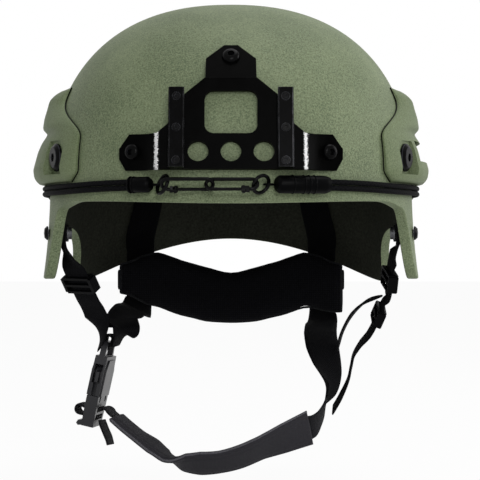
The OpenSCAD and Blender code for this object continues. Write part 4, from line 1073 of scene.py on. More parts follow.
@dataclass
class Rail:
    """Moulded strip along one side, with a recess round its front bolt and a slot in a groove along it."""

    side: Side
    curves: ShellCurves = CURVES
    start: float = 44.9
    stop: float = 119.0
    gap: float = 0.45
    front_bolt: Pair = (54.7, 76.2)
    rear_bolt: Pair = (111.0, 80.5)
    # Height, stand off the shell, and how much more of it there is near the front
    section: tuple[Triple, ...] = (
        (60.5, 2.2, 0), (61.3, 7.6, 0), (64.5, 10.2, 0), (70, 11.2, 0), (76, 9.9, 0), (81.5, 8.9, 0),
        (87.5, 7, 0.5), (92, 4.6, 2.6), (94, 4.4, 3.2), (96.5, 8, 0.4), (103, 8.7, 0), (109, 8.7, 0),
        (115, 9.2, 0), (118.5, 7.2, 0), (120.8, 4.5, 0), (122, 1.2, 0),
    )
    # Amount, first height and run of the ends' lean, over the upper side and over the lower side
    lean_up: Triple = (20.0, 88.0, 27.0)
    lean_down: Triple = (4.0, 68.0, 10.0)
    groove: Hollow = ((61.2, 104), (72, 90), (4.4, 1.4), (8.2, 4.4))
    slot: Hollow = ((62.2, 104), (74.5, 87.5), (6.8, 4), (14, 14))
    recess_half: float = 10.5
    recess_floor: float = -4.0
    rear_hole: float = 5.5
    rear_floor: float = -5.0
    outside: float = -17.0
    # Radius and rest of the thin dark tube along the rail's edges: painted shade for the gap's shadow
    gasket: float = 0.42
    gasket_rest: float = 0.5
    # Height and stand of the boss's own section, and its first azimuth and run
    boss: tuple[Pair, ...] = ((51, 1.6), (52.6, 6.2), (60, 7), (63.5, 7.4))
    boss_from: float = 101.3
    boss_run: float = 8.8
    boss_rest: float = 0.7
    # Least share of the stand at an end, the run over which it grows, and the power that shapes its growth
    front_end: Triple = (0.2, 18.0, 0.65)
    rear_end: Triple = (0.35, 4.0, 0.6)

    def lean(self, azimuth: float, height: float) -> float:
        """Azimuth at a height, where the ends lean over the upper and lower side.

        Args:
            azimuth: Azimuth along the middle of the rail.
            height: Height of the point.

        Returns:
            The azimuth.
        """
        (up, above, rise), (down, below, fall) = self.lean_up, self.lean_down
        amount = up * smooth((height - above) / rise) + down * smooth((below - height) / fall)
        return azimuth + mix(amount, -amount, (azimuth - self.start) / (self.stop - self.start))

    @staticmethod
    def growth(end: Triple, away: float) -> float:
        """Share of the stand at a distance from an end of the rail.

        Args:
            end: Values of the end.
            away: Distance from it, in degrees.

        Returns:
            The share, which can pass 1.
        """
        least, run, power = end
        return mix(least, 1, max(0.0, away / run) ** power)

    def stand(self, azimuth: float, height: float) -> float:
        """How far the outside stands off the shell, in millimetres.

        Args:
            azimuth: Azimuth along the rail.
            height: Height of the point.

        Returns:
            The distance.
        """
        rows = self.section
        index = max(i for i in range(len(rows) - 1) if rows[i][0] <= height + 1e-6)
        low, high = rows[index], rows[index + 1]
        share = (height - low[0]) / (high[0] - low[0])
        off = mix(low[1], high[1], share) + mix(low[2], high[2], share) * (1 - smooth((azimuth - 52) / 14))
        front = self.growth(self.front_end, azimuth - self.start)
        rear = self.growth(self.rear_end, self.stop - azimuth)
        return self.gap + (off - self.gap) * min(1.0, front, rear)

    def heights(self) -> list[float]:
        """Heights of the grid, closer together at the section's bends.

        Returns:
            The heights, from the lowest.
        """
        found: list[float] = []
        for low, high in zip(self.section, self.section[1:]):
            steps = max(2, round((high[0] - low[0]) / 1.3))
            found += [mix(low[0], high[0], i / steps) for i in range(steps)]
        return found + [self.section[-1][0]]

    def settle(self, values: list[float], index: int, azimuth: float) -> float:
        """Stand at a height, averaged over its neighbours so that the bends are round."""
        below, here, above = values[max(0, index - 1)], values[index], values[min(len(values) - 1, index + 1)]
        return sum(self.stand(azimuth, h) for h in (below, here, here, above)) / 4

    def build(self, frame: dict) -> None:
        """Make the rail, cut its slot and holes, and stand it in for the solid.

        Args:
            frame: The loaded frame.
        """
        sign = self.side.value
        heights = self.heights()
        # Columns crowd towards both ends, where the strip rounds over
        front = [self.start + 3 * (i / 5) ** 1.6 for i in range(5)]
        ends = [self.stop - 4 * (1 - i / 5) ** 1.4 for i in range(6)]
        turns = front + [mix(self.start + 3, self.stop - 4, i / 56) for i in range(56)] + ends

        def outer(u: float, v: float) -> Vector:
            """Point of the outside.

            Args:
                u: First share, from 0 to 1.
                v: Second share, from 0 to 1.

            Returns:
                The point, in metres.
            """
            a, index = turns[round(u * (len(turns) - 1))], round(v * (len(heights) - 1))
            h = heights[index]
            return self.curves.at(sign * self.lean(a, h), h, self.settle(heights, index, a))

        def inner(u: float, v: float) -> Vector:
            """Point of the face towards the shell.

            Args:
                u: First share, from 0 to 1.
                v: Second share, from 0 to 1.

            Returns:
                The point, in metres.
            """
            a, h = turns[round(u * (len(turns) - 1))], heights[round(v * (len(heights) - 1))]
            return self.curves.at(sign * self.lean(a, h), h, self.gap)

        strip = thick_grid(len(turns) - 1, len(heights) - 1, outer, inner)
        piece = object_from(strip, f"rail_{self.side.word}_moulded", RAIL_NYLON, 50)
        carve(piece, self.cutters())
        keep(frame, piece, f"rail_{self.side.word}")
        self.build_gasket()
        self.build_boss()

    def bent(self, hollow: Hollow) -> Piece:
        """Make the closed shape of a hollow.

        Args:
            hollow: Values of the hollow.

        Returns:
            The shape.
        """
        span, heights, low, high = hollow

        def layer(offs: Pair) -> Place:
            """Surface that stands off the shell by two amounts.

            Args:
                offs: Stand at the hollow's lower and upper height.

            Returns:
                The surface.
            """
            sign = self.side.value
            return lambda u, v: self.curves.at(sign * mix(*span, u), mix(*heights, v), mix(*offs, v))

        return object_from(thick_grid(36, 1, layer(high), layer(low)), "bent_block", RAIL_NYLON)

    def cutters(self) -> list[Piece]:
        """Make the shapes of the groove, the slot, the recess and the rear bolt's hole.

        Returns:
            The shapes.
        """
        sign, half = self.side.value, self.recess_half
        front = self.curves.seat(sign * self.front_bolt[0], self.front_bolt[1])
        rear = self.curves.seat(sign * self.rear_bolt[0], self.rear_bolt[1])
        return [
            self.bent(self.groove),
            self.bent(self.slot),
            block(front, (-half, self.outside, -half), (half, self.recess_floor, half), RAIL_NYLON),
            rod(rear, self.rear_hole, self.outside, self.rear_floor, RAIL_NYLON),
        ]

    def build_gasket(self) -> None:
        """Lay a thin dark tube under the rail's front, upper and rear edges: painted shade for the shadow in
        the gap under the rail.
        """
        low, high = self.section[0][0] + 0.4, self.section[-1][0] - 0.2
        walk = [(self.start + 0.05, mix(low, high, i / 40)) for i in range(41)]
        walk += [(mix(self.start, self.stop, i / 60), high) for i in range(1, 60)]
        walk += [(self.stop - 0.05, mix(high, low, i / 40)) for i in range(41)]
        # This dark rubber tube is painted shade, standing for the shadow in the gap
        points = [self.curves.at(self.side.value * self.lean(a, h), h, self.gasket_rest) for a, h in walk]
        trim(tube(f"rail_gasket_{self.side.word}", points, self.gasket, SLEEVE_RUBBER, 8))

    def boss_row(self, share: float) -> Pair:
        """Height and stand of the boss at a share of the way up it.

        Args:
            share: Place from 0 at the foot to 1 at the top.

        Returns:
            The height, and how far the boss's outside stands off the shell.
        """
        place = share * (len(self.boss) - 1)
        index = min(len(self.boss) - 2, int(place))
        low, high = self.boss[index], self.boss[index + 1]
        return mix(low[0], high[0], place - index), mix(low[1], high[1], place - index)

    def build_boss(self) -> None:
        """Make the boss that the elastic cords run into, with its corners eased."""
        sign = self.side.value

        def outer(u: float, v: float) -> Vector:
            """Point of the outside.

            Args:
                u: First share, from 0 to 1.
                v: Second share, from 0 to 1.

            Returns:
                The point, in metres.
            """
            height, off = self.boss_row(v)
            eased = 1.4 * smooth((u - 0.72) / 0.28) + 0.5 * smooth((0.12 - u) / 0.12)
            return self.curves.at(sign * (self.boss_from + self.boss_run * u), height, off - eased)

        def inner(u: float, v: float) -> Vector:
            """Point of the face towards the shell.

            Args:
                u: First share, from 0 to 1.
                v: Second share, from 0 to 1.

            Returns:
                The point, in metres.
            """
            height, _ = self.boss_row(v)
            return self.curves.at(sign * (self.boss_from + self.boss_run * u), height, self.boss_rest)

        trim(object_from(thick_grid(16, 18, outer, inner), f"cord_boss_{self.side.word}", RAIL_NYLON, 60))


# Webbing


def catmull(points: Sequence[Vector], steps: int) -> list[tuple[Vector, float]]:
    """Run a centripetal curve through points.

    Args:
        points: The points that the curve passes.
        steps: Samples on each stretch.

    Returns:
        Samples, each with its place in the list of points.
    """
    ends = [points[0] * 2 - points[1], *points, points[-1] * 2 - points[-2]]
    made: list[tuple[Vector, float]] = []
    for i in range(1, len(ends) - 2):
        a, b, c, d = ends[i - 1 : i + 3]
        knots = [0.0]
        for p, q in ((a, b), (b, c), (c, d)):
            knots.append(knots[-1] + max(1e-9, (q - p).length) ** 0.5)
        for k in range(steps + (i == len(ends) - 3)):
            t = mix(knots[1], knots[2], k / steps)

            def blend(p: Vector, q: Vector, low: float, high: float) -> Vector:
                """Weigh two points by where the sample lies between two knots."""
                return p * ((high - t) / (high - low)) + q * ((t - low) / (high - low))

            one = blend(a, b, knots[0], knots[1])
            two = blend(b, c, knots[1], knots[2])
            three = blend(c, d, knots[2], knots[3])
            left, right = blend(one, two, knots[0], knots[2]), blend(two, three, knots[1], knots[3])
            made.append((blend(left, right, knots[1], knots[2]), i - 1 + k / steps))
    return made


# Point of a route, in millimetres, and the direction of the tape's width there
Row = tuple[Vector, Vector]


@dataclass
class Ribbon:
    """Length of flat webbing along a route, whose rows hold a point and the direction of the width."""

    name: str
    rows: Sequence[Row]
    width: float
    finish: Finish = STRAP_TAPE
    thick: float = 1.6
    steps: int = 7
    wander: float = 0.25

    def __post_init__(self) -> None:
        """Sample the route and its frames."""
        points = [r[0] for r in self.rows]
        self.path: list[tuple[Vector, Vector, Vector]] = []
        samples = catmull(points, self.steps)
        self.run = [0.0]
        for i, (here, place) in enumerate(samples):
            before, after = samples[max(0, i - 1)][0], samples[min(len(samples) - 1, i + 1)][0]
            along = (after - before).normalized()
            index = min(len(self.rows) - 2, int(place))
            side = self.rows[index][1].normalized().lerp(self.rows[index + 1][1].normalized(), place - index)
            side = (side - along * side.dot(along)).normalized()
            self.path.append((here, side, along.cross(side)))
            if i:
                self.run.append(self.run[-1] + (here - samples[i - 1][0]).length)

    def point(self, across: float, index: int, lift: float) -> Vector:
        """Point of the tape, across it from -1 to 1 and lifted off its middle by millimetres.

        Args:
            across: Share of the half width.
            index: Number of the sample along the tape.
            lift: Distance off the middle.

        Returns:
            The point, in metres.
        """
        here, side, face = self.path[index]
        sway = self.wander * noise.noise(here * 0.05)
        half = self.width / 2 * (1 + 0.012 * noise.noise(here * 0.16 + Vector((9, 0, 0))))
        return (here + side * (across * half + sway) + face * lift) * MM

    def build(self) -> Piece:
        """Make the tape with rounded selvedges.

        Returns:
            The tape.
        """
        last = len(self.path) - 1

        def layer(sign: int) -> Place:
            """Surface of one face of the tape.

            Args:
                sign: 1 for the front face and -1 for the back.

            Returns:
                The surface.
            """

            def place(u: float, v: float) -> Vector:
                """Point of the face, whose columns crowd towards the selvedges.

                Args:
                    u: First share, from 0 to 1.
                    v: Second share, from 0 to 1.

                Returns:
                    The point, in metres.
                """
                across = math.sin((u - 0.5) * math.pi) * 0.35 + (2 * u - 1) * 0.65
                edge = mix(0.4, 1, math.sqrt(max(0.0, 1 - abs(across) ** 9)))
                return self.point(across, round(v * last), sign * edge * self.thick / 2)

            return place

        form = thick_grid(8, last, layer(1), layer(-1), (self.width * MM, self.run[-1] * MM))
        return rounded(object_from(form, self.name, self.finish))


def rows_of(table: Sequence[Sequence[float]]) -> list[Row]:
    """Turn rows of six numbers into points and directions."""
    return [(Vector(r[:3]), Vector(r[3:])) for r in table]


# How far inside the shell's outer face a strap's middle lies at its bolt
STRAP_DEPTH = 9.4


def bolt_row(sign: int, bolt: Pair, rise: float) -> Row:
    """Row of a strap behind a bolt, along the inner wall.

    Args:
        sign: Sign of the side.
        bolt: Azimuth and height of the bolt.
        rise: Height above the bolt.

    Returns:
        The row.
    """
    turn = CURVES.turn(sign * bolt[0], bolt[1])
    out = Vector((math.sin(turn), -math.cos(turn), 0))
    here = CURVES.at(sign * bolt[0], bolt[1]) / MM - out * STRAP_DEPTH + Vector((0, 0, rise))
    return here, Vector((math.cos(turn), math.sin(turn), 0)) * sign


@dataclass(frozen=True)
class BuckleFrame:
    """Frame of the side-release buckle: X through it, Y across it, Z up to its top bar."""

    at: Triple = (-80.5, -2.0, -42.0)
    lean: float = 12.4
    twist: float = -8.0

    def matrix(self) -> Matrix:
        """Frame in metres.

        Returns:
            The frame.
        """
        lean, twist = math.radians(self.lean), math.radians(self.twist)
        turn = Matrix.Rotation(lean, 4, "Y") @ Matrix.Rotation(twist, 4, "Z")
        return Matrix.Translation(Vector(self.at) * MM) @ turn

    def point(self, x: float, y: float, z: float) -> Vector:
        """Point of the frame, in millimetres."""
        return self.matrix() @ (Vector((x, y, z)) * MM) / MM

    def way(self, x: float, y: float, z: float) -> Vector:
        """Direction of the frame."""
        return self.matrix().to_3x3() @ Vector((x, y, z))

    def row(self, x: float, y: float, z: float, side: Triple = (0, 1, 0)) -> Row:
        """Row of a route given in the frame."""
        return self.point(x, y, z), self.way(*side)


BUCKLE = BuckleFrame()
# Azimuths and heights of the chin strap's bolts
FLAP_BOLT = (70.5, 29.4)
NAPE_BOLT = (152.0, 63.0)
# Stand of the fold round the buckle's top bar, and half the thickness of the plug, in millimetres
LOOP_OUT = 3.5
PLUG_HALF = 4.0
# Radius and middle of the nape band's curve
NAPE_RADIUS = 92.0
NAPE_MIDDLE = 16.0


@dataclass
class Harness:
    """Every strap of the chin harness. Each route's points are set one by one along the strap."""

    strap: float = 20.0
    rear: float = 23.0
    narrow: float = 14.0
    plug_strap: float = 19.6
    loop_thick: float = 1.3
    loop_radius: float = 102.25
    loop_at: Pair = (65.0, 98.0)

    def front_right(self) -> list[Row]:
        """Route from the right flap's bolt through the slider to the buckle.

        Returns:
            The rows of the route.
        """
        return [
            bolt_row(-1, FLAP_BOLT, 7),
            bolt_row(-1, FLAP_BOLT, -8),
            (CURVES.at(-70.7, 15, -13.6) / MM, Vector((-0.3, 0.95, 0))),
            (CURVES.at(-72, 7, -17.9) / MM, Vector((-0.75, 0.62, 0))),
            *rows_of([
                (-93.4, -22.6, -13.4, -0.78, 0.6, 0), (-90.4, -18.5, -19, -0.8, 0.58, 0),
                (-87.6, -14.2, -26.5, -0.86, 0.48, 0.1),
            ]),
            BUCKLE.row(-LOOP_OUT - 2.6, -8.5, 5.6, (-0.62, 0.6, 0.5)),
            BUCKLE.row(-LOOP_OUT - 1.2, -1.5, -1.2, (0, 0.64, 0.77)),
        ]

    def front_left(self) -> list[Row]:
        """Route from the left flap's bolt through the slider and the adjuster to the chin webbing.

        Returns:
            The rows of the route.
        """
        return [
            bolt_row(1, FLAP_BOLT, 7),
            bolt_row(1, FLAP_BOLT, -8),
            (CURVES.at(71.2, 14, -13.9) / MM, Vector((-0.25, 0.95, 0))),
            (CURVES.at(72.5, 9, -16.2) / MM, Vector((-0.12, 1, 0))),
            *rows_of([
                (101.4, -26.5, -12, -0.12, 1, 0), (99.2, -25, -15.5, -0.1, 1, 0),
                (92.6, -20, -31.5, -0.1, 1, 0), (89.6, -16.8, -36.8, -0.1, 1, 0),
                (84.3, -12, -44, -0.05, 1, 0), (80.8, -9, -50.5, 0.03, 1, 0), (79.1, -7, -58.5, 0.05, 1, 0),
                (77.4, -5, -67, 0.05, 1, 0.05), (72.6, -2, -78.5, 0, 1, 0.1), (67.5, 1, -88, 0, 1, 0.1),
            ]),
        ]

    def rear_right(self) -> list[Row]:
        """Route from the right nape bolt round the nape band and forward to the buckle.

        Returns:
            The rows of the route.
        """
        return [
            bolt_row(-1, NAPE_BOLT, 5),
            bolt_row(-1, NAPE_BOLT, -9),
            *rows_of([
                (-65, 106, 28, 0.82, 0.57, 0), (-65, 94.6, 14, 0.76, 0.65, 0), (-65, 91.3, 5, 0.76, 0.65, 0),
                (-65, 91.3, -13, 0.76, 0.65, 0), (-65.6, 90.4, -19.5, 0.76, 0.6, -0.2),
                (-66.6, 84, -24, 0.82, 0.4, -0.4), (-67.2, 74, -24.4, 0.88, 0.15, -0.45),
                (-68.2, 60, -23.4, 0.92, 0.1, -0.38), (-69.4, 45, -23.2, 0.94, 0.08, -0.33),
                (-71.2, 30, -25, 0.96, 0.15, -0.2), (-73.8, 14, -28.6, 0.9, 0.4, 0.2),
            ]),
            BUCKLE.row(LOOP_OUT + 3.4, 0.4, 9.5, (0.62, 0.7, 0.36)),
            BUCKLE.row(LOOP_OUT + 2.2, -0.2, 4.4, (0.1, 1, 0.05)),
            BUCKLE.row(LOOP_OUT + 1.3, 0, -2.4),
        ]

    def rear_left(self) -> list[Row]:
        """Route from the left nape bolt round the nape band and down to the chin webbing.

        Returns:
            The rows of the route.
        """
        return [
            bolt_row(1, NAPE_BOLT, 5),
            bolt_row(1, NAPE_BOLT, -9),
            *rows_of([
                (65, 106, 28, -0.82, 0.57, 0), (65, 94.6, 14, -0.76, 0.65, 0), (65, 91.3, 5, -0.76, 0.65, 0),
                (65, 91.3, -14, -0.76, 0.65, 0), (65, 91.2, -24, -0.76, 0.65, 0),
                (64.6, 88.6, -30.5, -0.8, 0.6, 0), (63.4, 76, -35.5, -1, 0.2, 0), (62, 54, -41, -1, 0, 0),
                (62.5, 36, -48.5, -1, -0.1, 0), (65, 22, -61, -0.85, -0.45, 0.2),
                (65, 10, -71.5, -0.45, -0.8, 0.3), (63.6, 3.6, -78, 0, -1, 0.2),
            ]),
        ]

    def slack(self) -> list[Row]:
        """Route of the loose strap from the left slider back to the rear strap.

        Returns:
            The rows of the route.
        """
        return rows_of([
            (96.9, -26, -11.6, 0.1, 1, 0), (93.9, -24.8, -12.6, 0.2, 1, 0.1),
            (88, -19.4, -15.2, 0.5, 0.85, 0.3), (82.2, -8, -21.1, 0.5, 0.85, 0.3),
            (77.2, 2, -29.5, 0.4, 0.9, 0.4), (74.1, 11, -37.8, 0.3, 0.9, 0.4),
            (72.7, 20, -45.8, 0.2, 0.9, 0.5),
        ])

    def tail(self) -> list[Row]:
        """Route of the free end that hangs from the plug.

        Returns:
            The rows of the route.
        """
        return [
            BUCKLE.row(PLUG_HALF + 2.4, 0, -51.6),
            *rows_of([
                (-84.6, -3.2, -96.6, 0.16, 1, 0), (-82.8, -3.8, -101, 0.13, 1, 0.05),
                (-80.8, -4.3, -105.6, 0.12, 1, 0.1), (-79.5, -4.8, -110.2, 0.12, 1, 0.1),
            ]),
        ]

    def chin_left(self) -> list[Row]:
        """Route from the chin cup up to the two left straps.

        Returns:
            The rows of the route.
        """
        return rows_of([
            (50.4, -6.8, -99.3, 0.23, 0.64, -0.73), (54, -6, -97.8, 0.21, 0.7, -0.68),
            (58.2, -4, -93.6, 0.15, 0.85, -0.5), (60.8, -1.5, -89, 0.1, 0.9, -0.4),
            (62.8, 1.4, -82.4, 0, 1, -0.25),
        ])

    def chin_right(self) -> list[Row]:
        """Route from the plug down into the chin cup.

        Returns:
            The rows of the route.
        """
        return [
            BUCKLE.row(PLUG_HALF + 1.5, 0, -44.2),
            *rows_of([
                (-82.6, -3.1, -85.9, 0.13, 1, 0), (-80.6, -4, -86.9, 0.12, 1, 0.05),
                (-78.6, -5, -88.9, 0.1, 1, 0.08), (-75.2, -7, -92, 0.09, 1, 0.08),
            ]),
        ]

    def bar_loop(self) -> list[Row]:
        """Fold of the webbing round the housing's top bar.

        Returns:
            The rows of the fold.
        """
        out = LOOP_OUT - 0.65
        trace = [
            (0, -5.2), (-1.3, -4.9), (-out, -0.8), (-out, 3.2), (-out + 1, 3.95), (out - 1, 3.95), (out, 3.2),
            (out, -0.8), (1.3, -4.9), (0.2, -5.2),
        ]
        return [BUCKLE.row(x, 0, z) for x, z in trace]

    def plug_loop(self) -> list[Row]:
        """Fold of the chin webbing through the plug's two slots.

        Returns:
            The rows of the fold.
        """
        behind = -PLUG_HALF * 2
        trace = [
            (0.4, -45.1), (-9, -45.3), (behind - 5.1, -44.3), (behind - 6.8, -45.7), (behind - 6.8, -48.3),
            (behind - 5.1, -50), (-9, -50.2), (0.4, -50.2),
        ]
        return [BUCKLE.row(x + PLUG_HALF, 0, z) for x, z in trace]

    def nape_loop(self, side: Side) -> list[Row]:
        """Fold of the webbing that holds a rear strap on the nape band, with its ends tucked in.

        Args:
            side: Side of the strap.

        Returns:
            The rows of the fold.
        """
        middle = side.value * math.asin(self.loop_at[0] / self.loop_at[1])
        half = [(4, 0.15), (8.6, 0), (10.2, -1.2), (10.4, -3.4)]
        trace = [(-turn, lift) for turn, lift in reversed(half)] + [(0, 0.2)] + half
        rows = []
        for turn, lift in trace:
            angle, reach = middle + math.radians(turn), self.loop_radius + lift
            here = Vector((reach * math.sin(angle), NAPE_MIDDLE + reach * math.cos(angle), -3))
            rows.append((here, Vector((0, 0, 1))))
        return rows

    def build(self, frame: dict) -> None:
        """Make every strap and stand it in for its solid.

        Args:
            frame: The loaded frame.
        """
        straps = (
            ("front_strap_right", self.front_right(), self.strap, STRAP_TAPE),
            ("front_strap_left", self.front_left(), self.strap, STRAP_TAPE),
            ("rear_strap_right", self.rear_right(), self.rear, STRAP_TAPE),
            ("rear_strap_left", self.rear_left(), self.rear, STRAP_TAPE),
            ("slack_strap", self.slack(), self.narrow, STRAP_TAPE),
            ("strap_tail", self.tail(), self.strap, CHIN_TAPE),
            ("chin_webbing_left", self.chin_left(), self.rear, CHIN_TAPE),
            ("buckle_webbing", self.bar_loop(), self.strap, STRAP_TAPE),
            ("plug_webbing", self.plug_loop(), self.plug_strap, CHIN_TAPE),
        )
        for node, rows, width, finish in straps:
            keep(frame, Ribbon(f"{node}_woven", rows, width, finish).build(), node)
        self.build_bridge()
        for side in Side:
            node = f"nape_loop_{side.word}"
            loop = Ribbon(f"{node}_woven", self.nape_loop(side), self.narrow, STRAP_TAPE, self.loop_thick)
            keep(frame, loop.build(), node)

    def build_bridge(self) -> None:
        """Make the chin webbing between the plug and the cup and hide its solid; the piece rides on no body.
        """
        rows = self.chin_right()
        piece = Ribbon("chin_webbing_right_woven", rows, self.strap, CHIN_TAPE).build()
        bake(piece)
        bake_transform(piece)
        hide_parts("chin_webbing_right")
        LOG.info("%s bridges plug and helmet", piece.name)


# Cushions


def tube(name: str, points: Sequence[Vector], radius: float, finish: Finish, sides: int = 10) -> Piece:
    """Make a round tube along points in metres, with a radius in millimetres.

    Args:
        name: Name of the piece.
        points: Middle line of the tube.
        radius: Its radius.
        finish: Its finish.
        sides: Faces round it.

    Returns:
        The tube, closed at both ends.
    """
    last = len(points) - 1
    frames: list[tuple[Vector, Vector]] = []
    across = Vector((0, 0, 1))
    run = [0.0]
    for i, here in enumerate(points):
        along = (points[min(last, i + 1)] - points[max(0, i - 1)]).normalized()
        across = across - along * across.dot(along)
        if across.length < 1e-4:
            across = along.orthogonal()
        across.normalize()
        frames.append((across.copy(), along.cross(across)))
        if i:
            run.append(run[-1] + (here - points[i - 1]).length)

    def place(u: float, v: float) -> Vector:
        """Point of the tube, round it and along it.

        Args:
            u: First share, from 0 to 1.
            v: Second share, from 0 to 1.

        Returns:
            The point, in metres.
        """
        index, turn = round(v * last), 2 * math.pi * u
        one, two = frames[index]
        return points[index] + (one * math.cos(turn) + two * math.sin(turn)) * radius * MM

    form = mapped_grid(sides, last, place, (1, run[-1]))
    bmesh.ops.remove_doubles(form, verts=list(form.verts), dist=1e-6)
    bmesh.ops.holes_fill(form, edges=[e for e in form.edges if e.is_boundary], sides=0)
    bmesh.ops.recalc_face_normals(form, faces=list(form.faces))
    return object_from(form, name, finish, 60)


@dataclass
class Cushion:
    """Crowned closed cushion between two surfaces, filled by a short simulation."""

    node: str
    top: Place
    bottom: Place
    cells: tuple[int, int]
    finish: Finish
    voxel: float = 5.0
    cap: float = 2.5
    fill: float = 0.75
    seam_radius: float = 0.9
    pressure: float = 4.0
    piece: Piece | None = None
    rest: list[Vector] = field(default_factory=list)

    def start(self) -> None:
        """Make the closed form and set it up for filling."""
        form = thick_grid(*self.cells, self.top, self.bottom)
        self.piece = object_from(form, f"{self.node}_cushion", self.finish)
        modifier(self.piece, "REMESH", mode="VOXEL", voxel_size=self.voxel * MM, use_smooth_shade=True)
        bake(self.piece)
        self.rest = [v.co.copy() for v in self.piece.data.vertices]
        cloth = self.piece.modifiers.new("filling", "CLOTH")
        cloth.settings.use_pressure = True
        cloth.settings.uniform_pressure_force = self.pressure
        cloth.settings.effector_weights.gravity = 0.0
        cloth.settings.quality = 5

    def settle(self, frame: dict) -> None:
        """Keep the filled form within its cap, sew its seam and stand it in for the solid.

        Args:
            frame: The loaded frame.
        """
        if self.rest:
            bake(self.piece)
            for vert, start in zip(self.piece.data.vertices, self.rest):
                move = vert.co - start
                if move.length > self.cap * MM:
                    vert.co = start + move.normalized() * self.cap * MM
        for face in self.piece.data.polygons:
            face.use_smooth = True
        self.sew(frame)
        rounded(self.piece)
        keep(frame, self.piece, self.node)

    def sew(self, frame: dict) -> None:
        """Lay a piped seam round the cushion where its two faces meet.

        Args:
            frame: The loaded frame.
        """
        count = 40
        walk = [(i / count, 0.0) for i in range(count)] + [(1.0, i / count) for i in range(count)]
        walk += [(1 - i / count, 1.0) for i in range(count)]
        walk += [(0.0, 1 - i / count) for i in range(count + 1)]
        points = []
        for u, v in walk:
            middle = self.top(u, v).lerp(self.bottom(u, v), 0.5)
            found, where, _, _ = self.piece.closest_point_on_mesh(middle)
            points.append(where if found else middle)
        ring = zip([points[-1], *points], points, [*points[1:], points[0]])
        eased = [(before + here * 2 + after) / 4 for before, here, after in ring]
        seam = tube(f"{self.node}_piping", [*eased, eased[0]], self.seam_radius, LOOP_CLOTH, 8)
        trim(seam, body_of(frame, self.node))


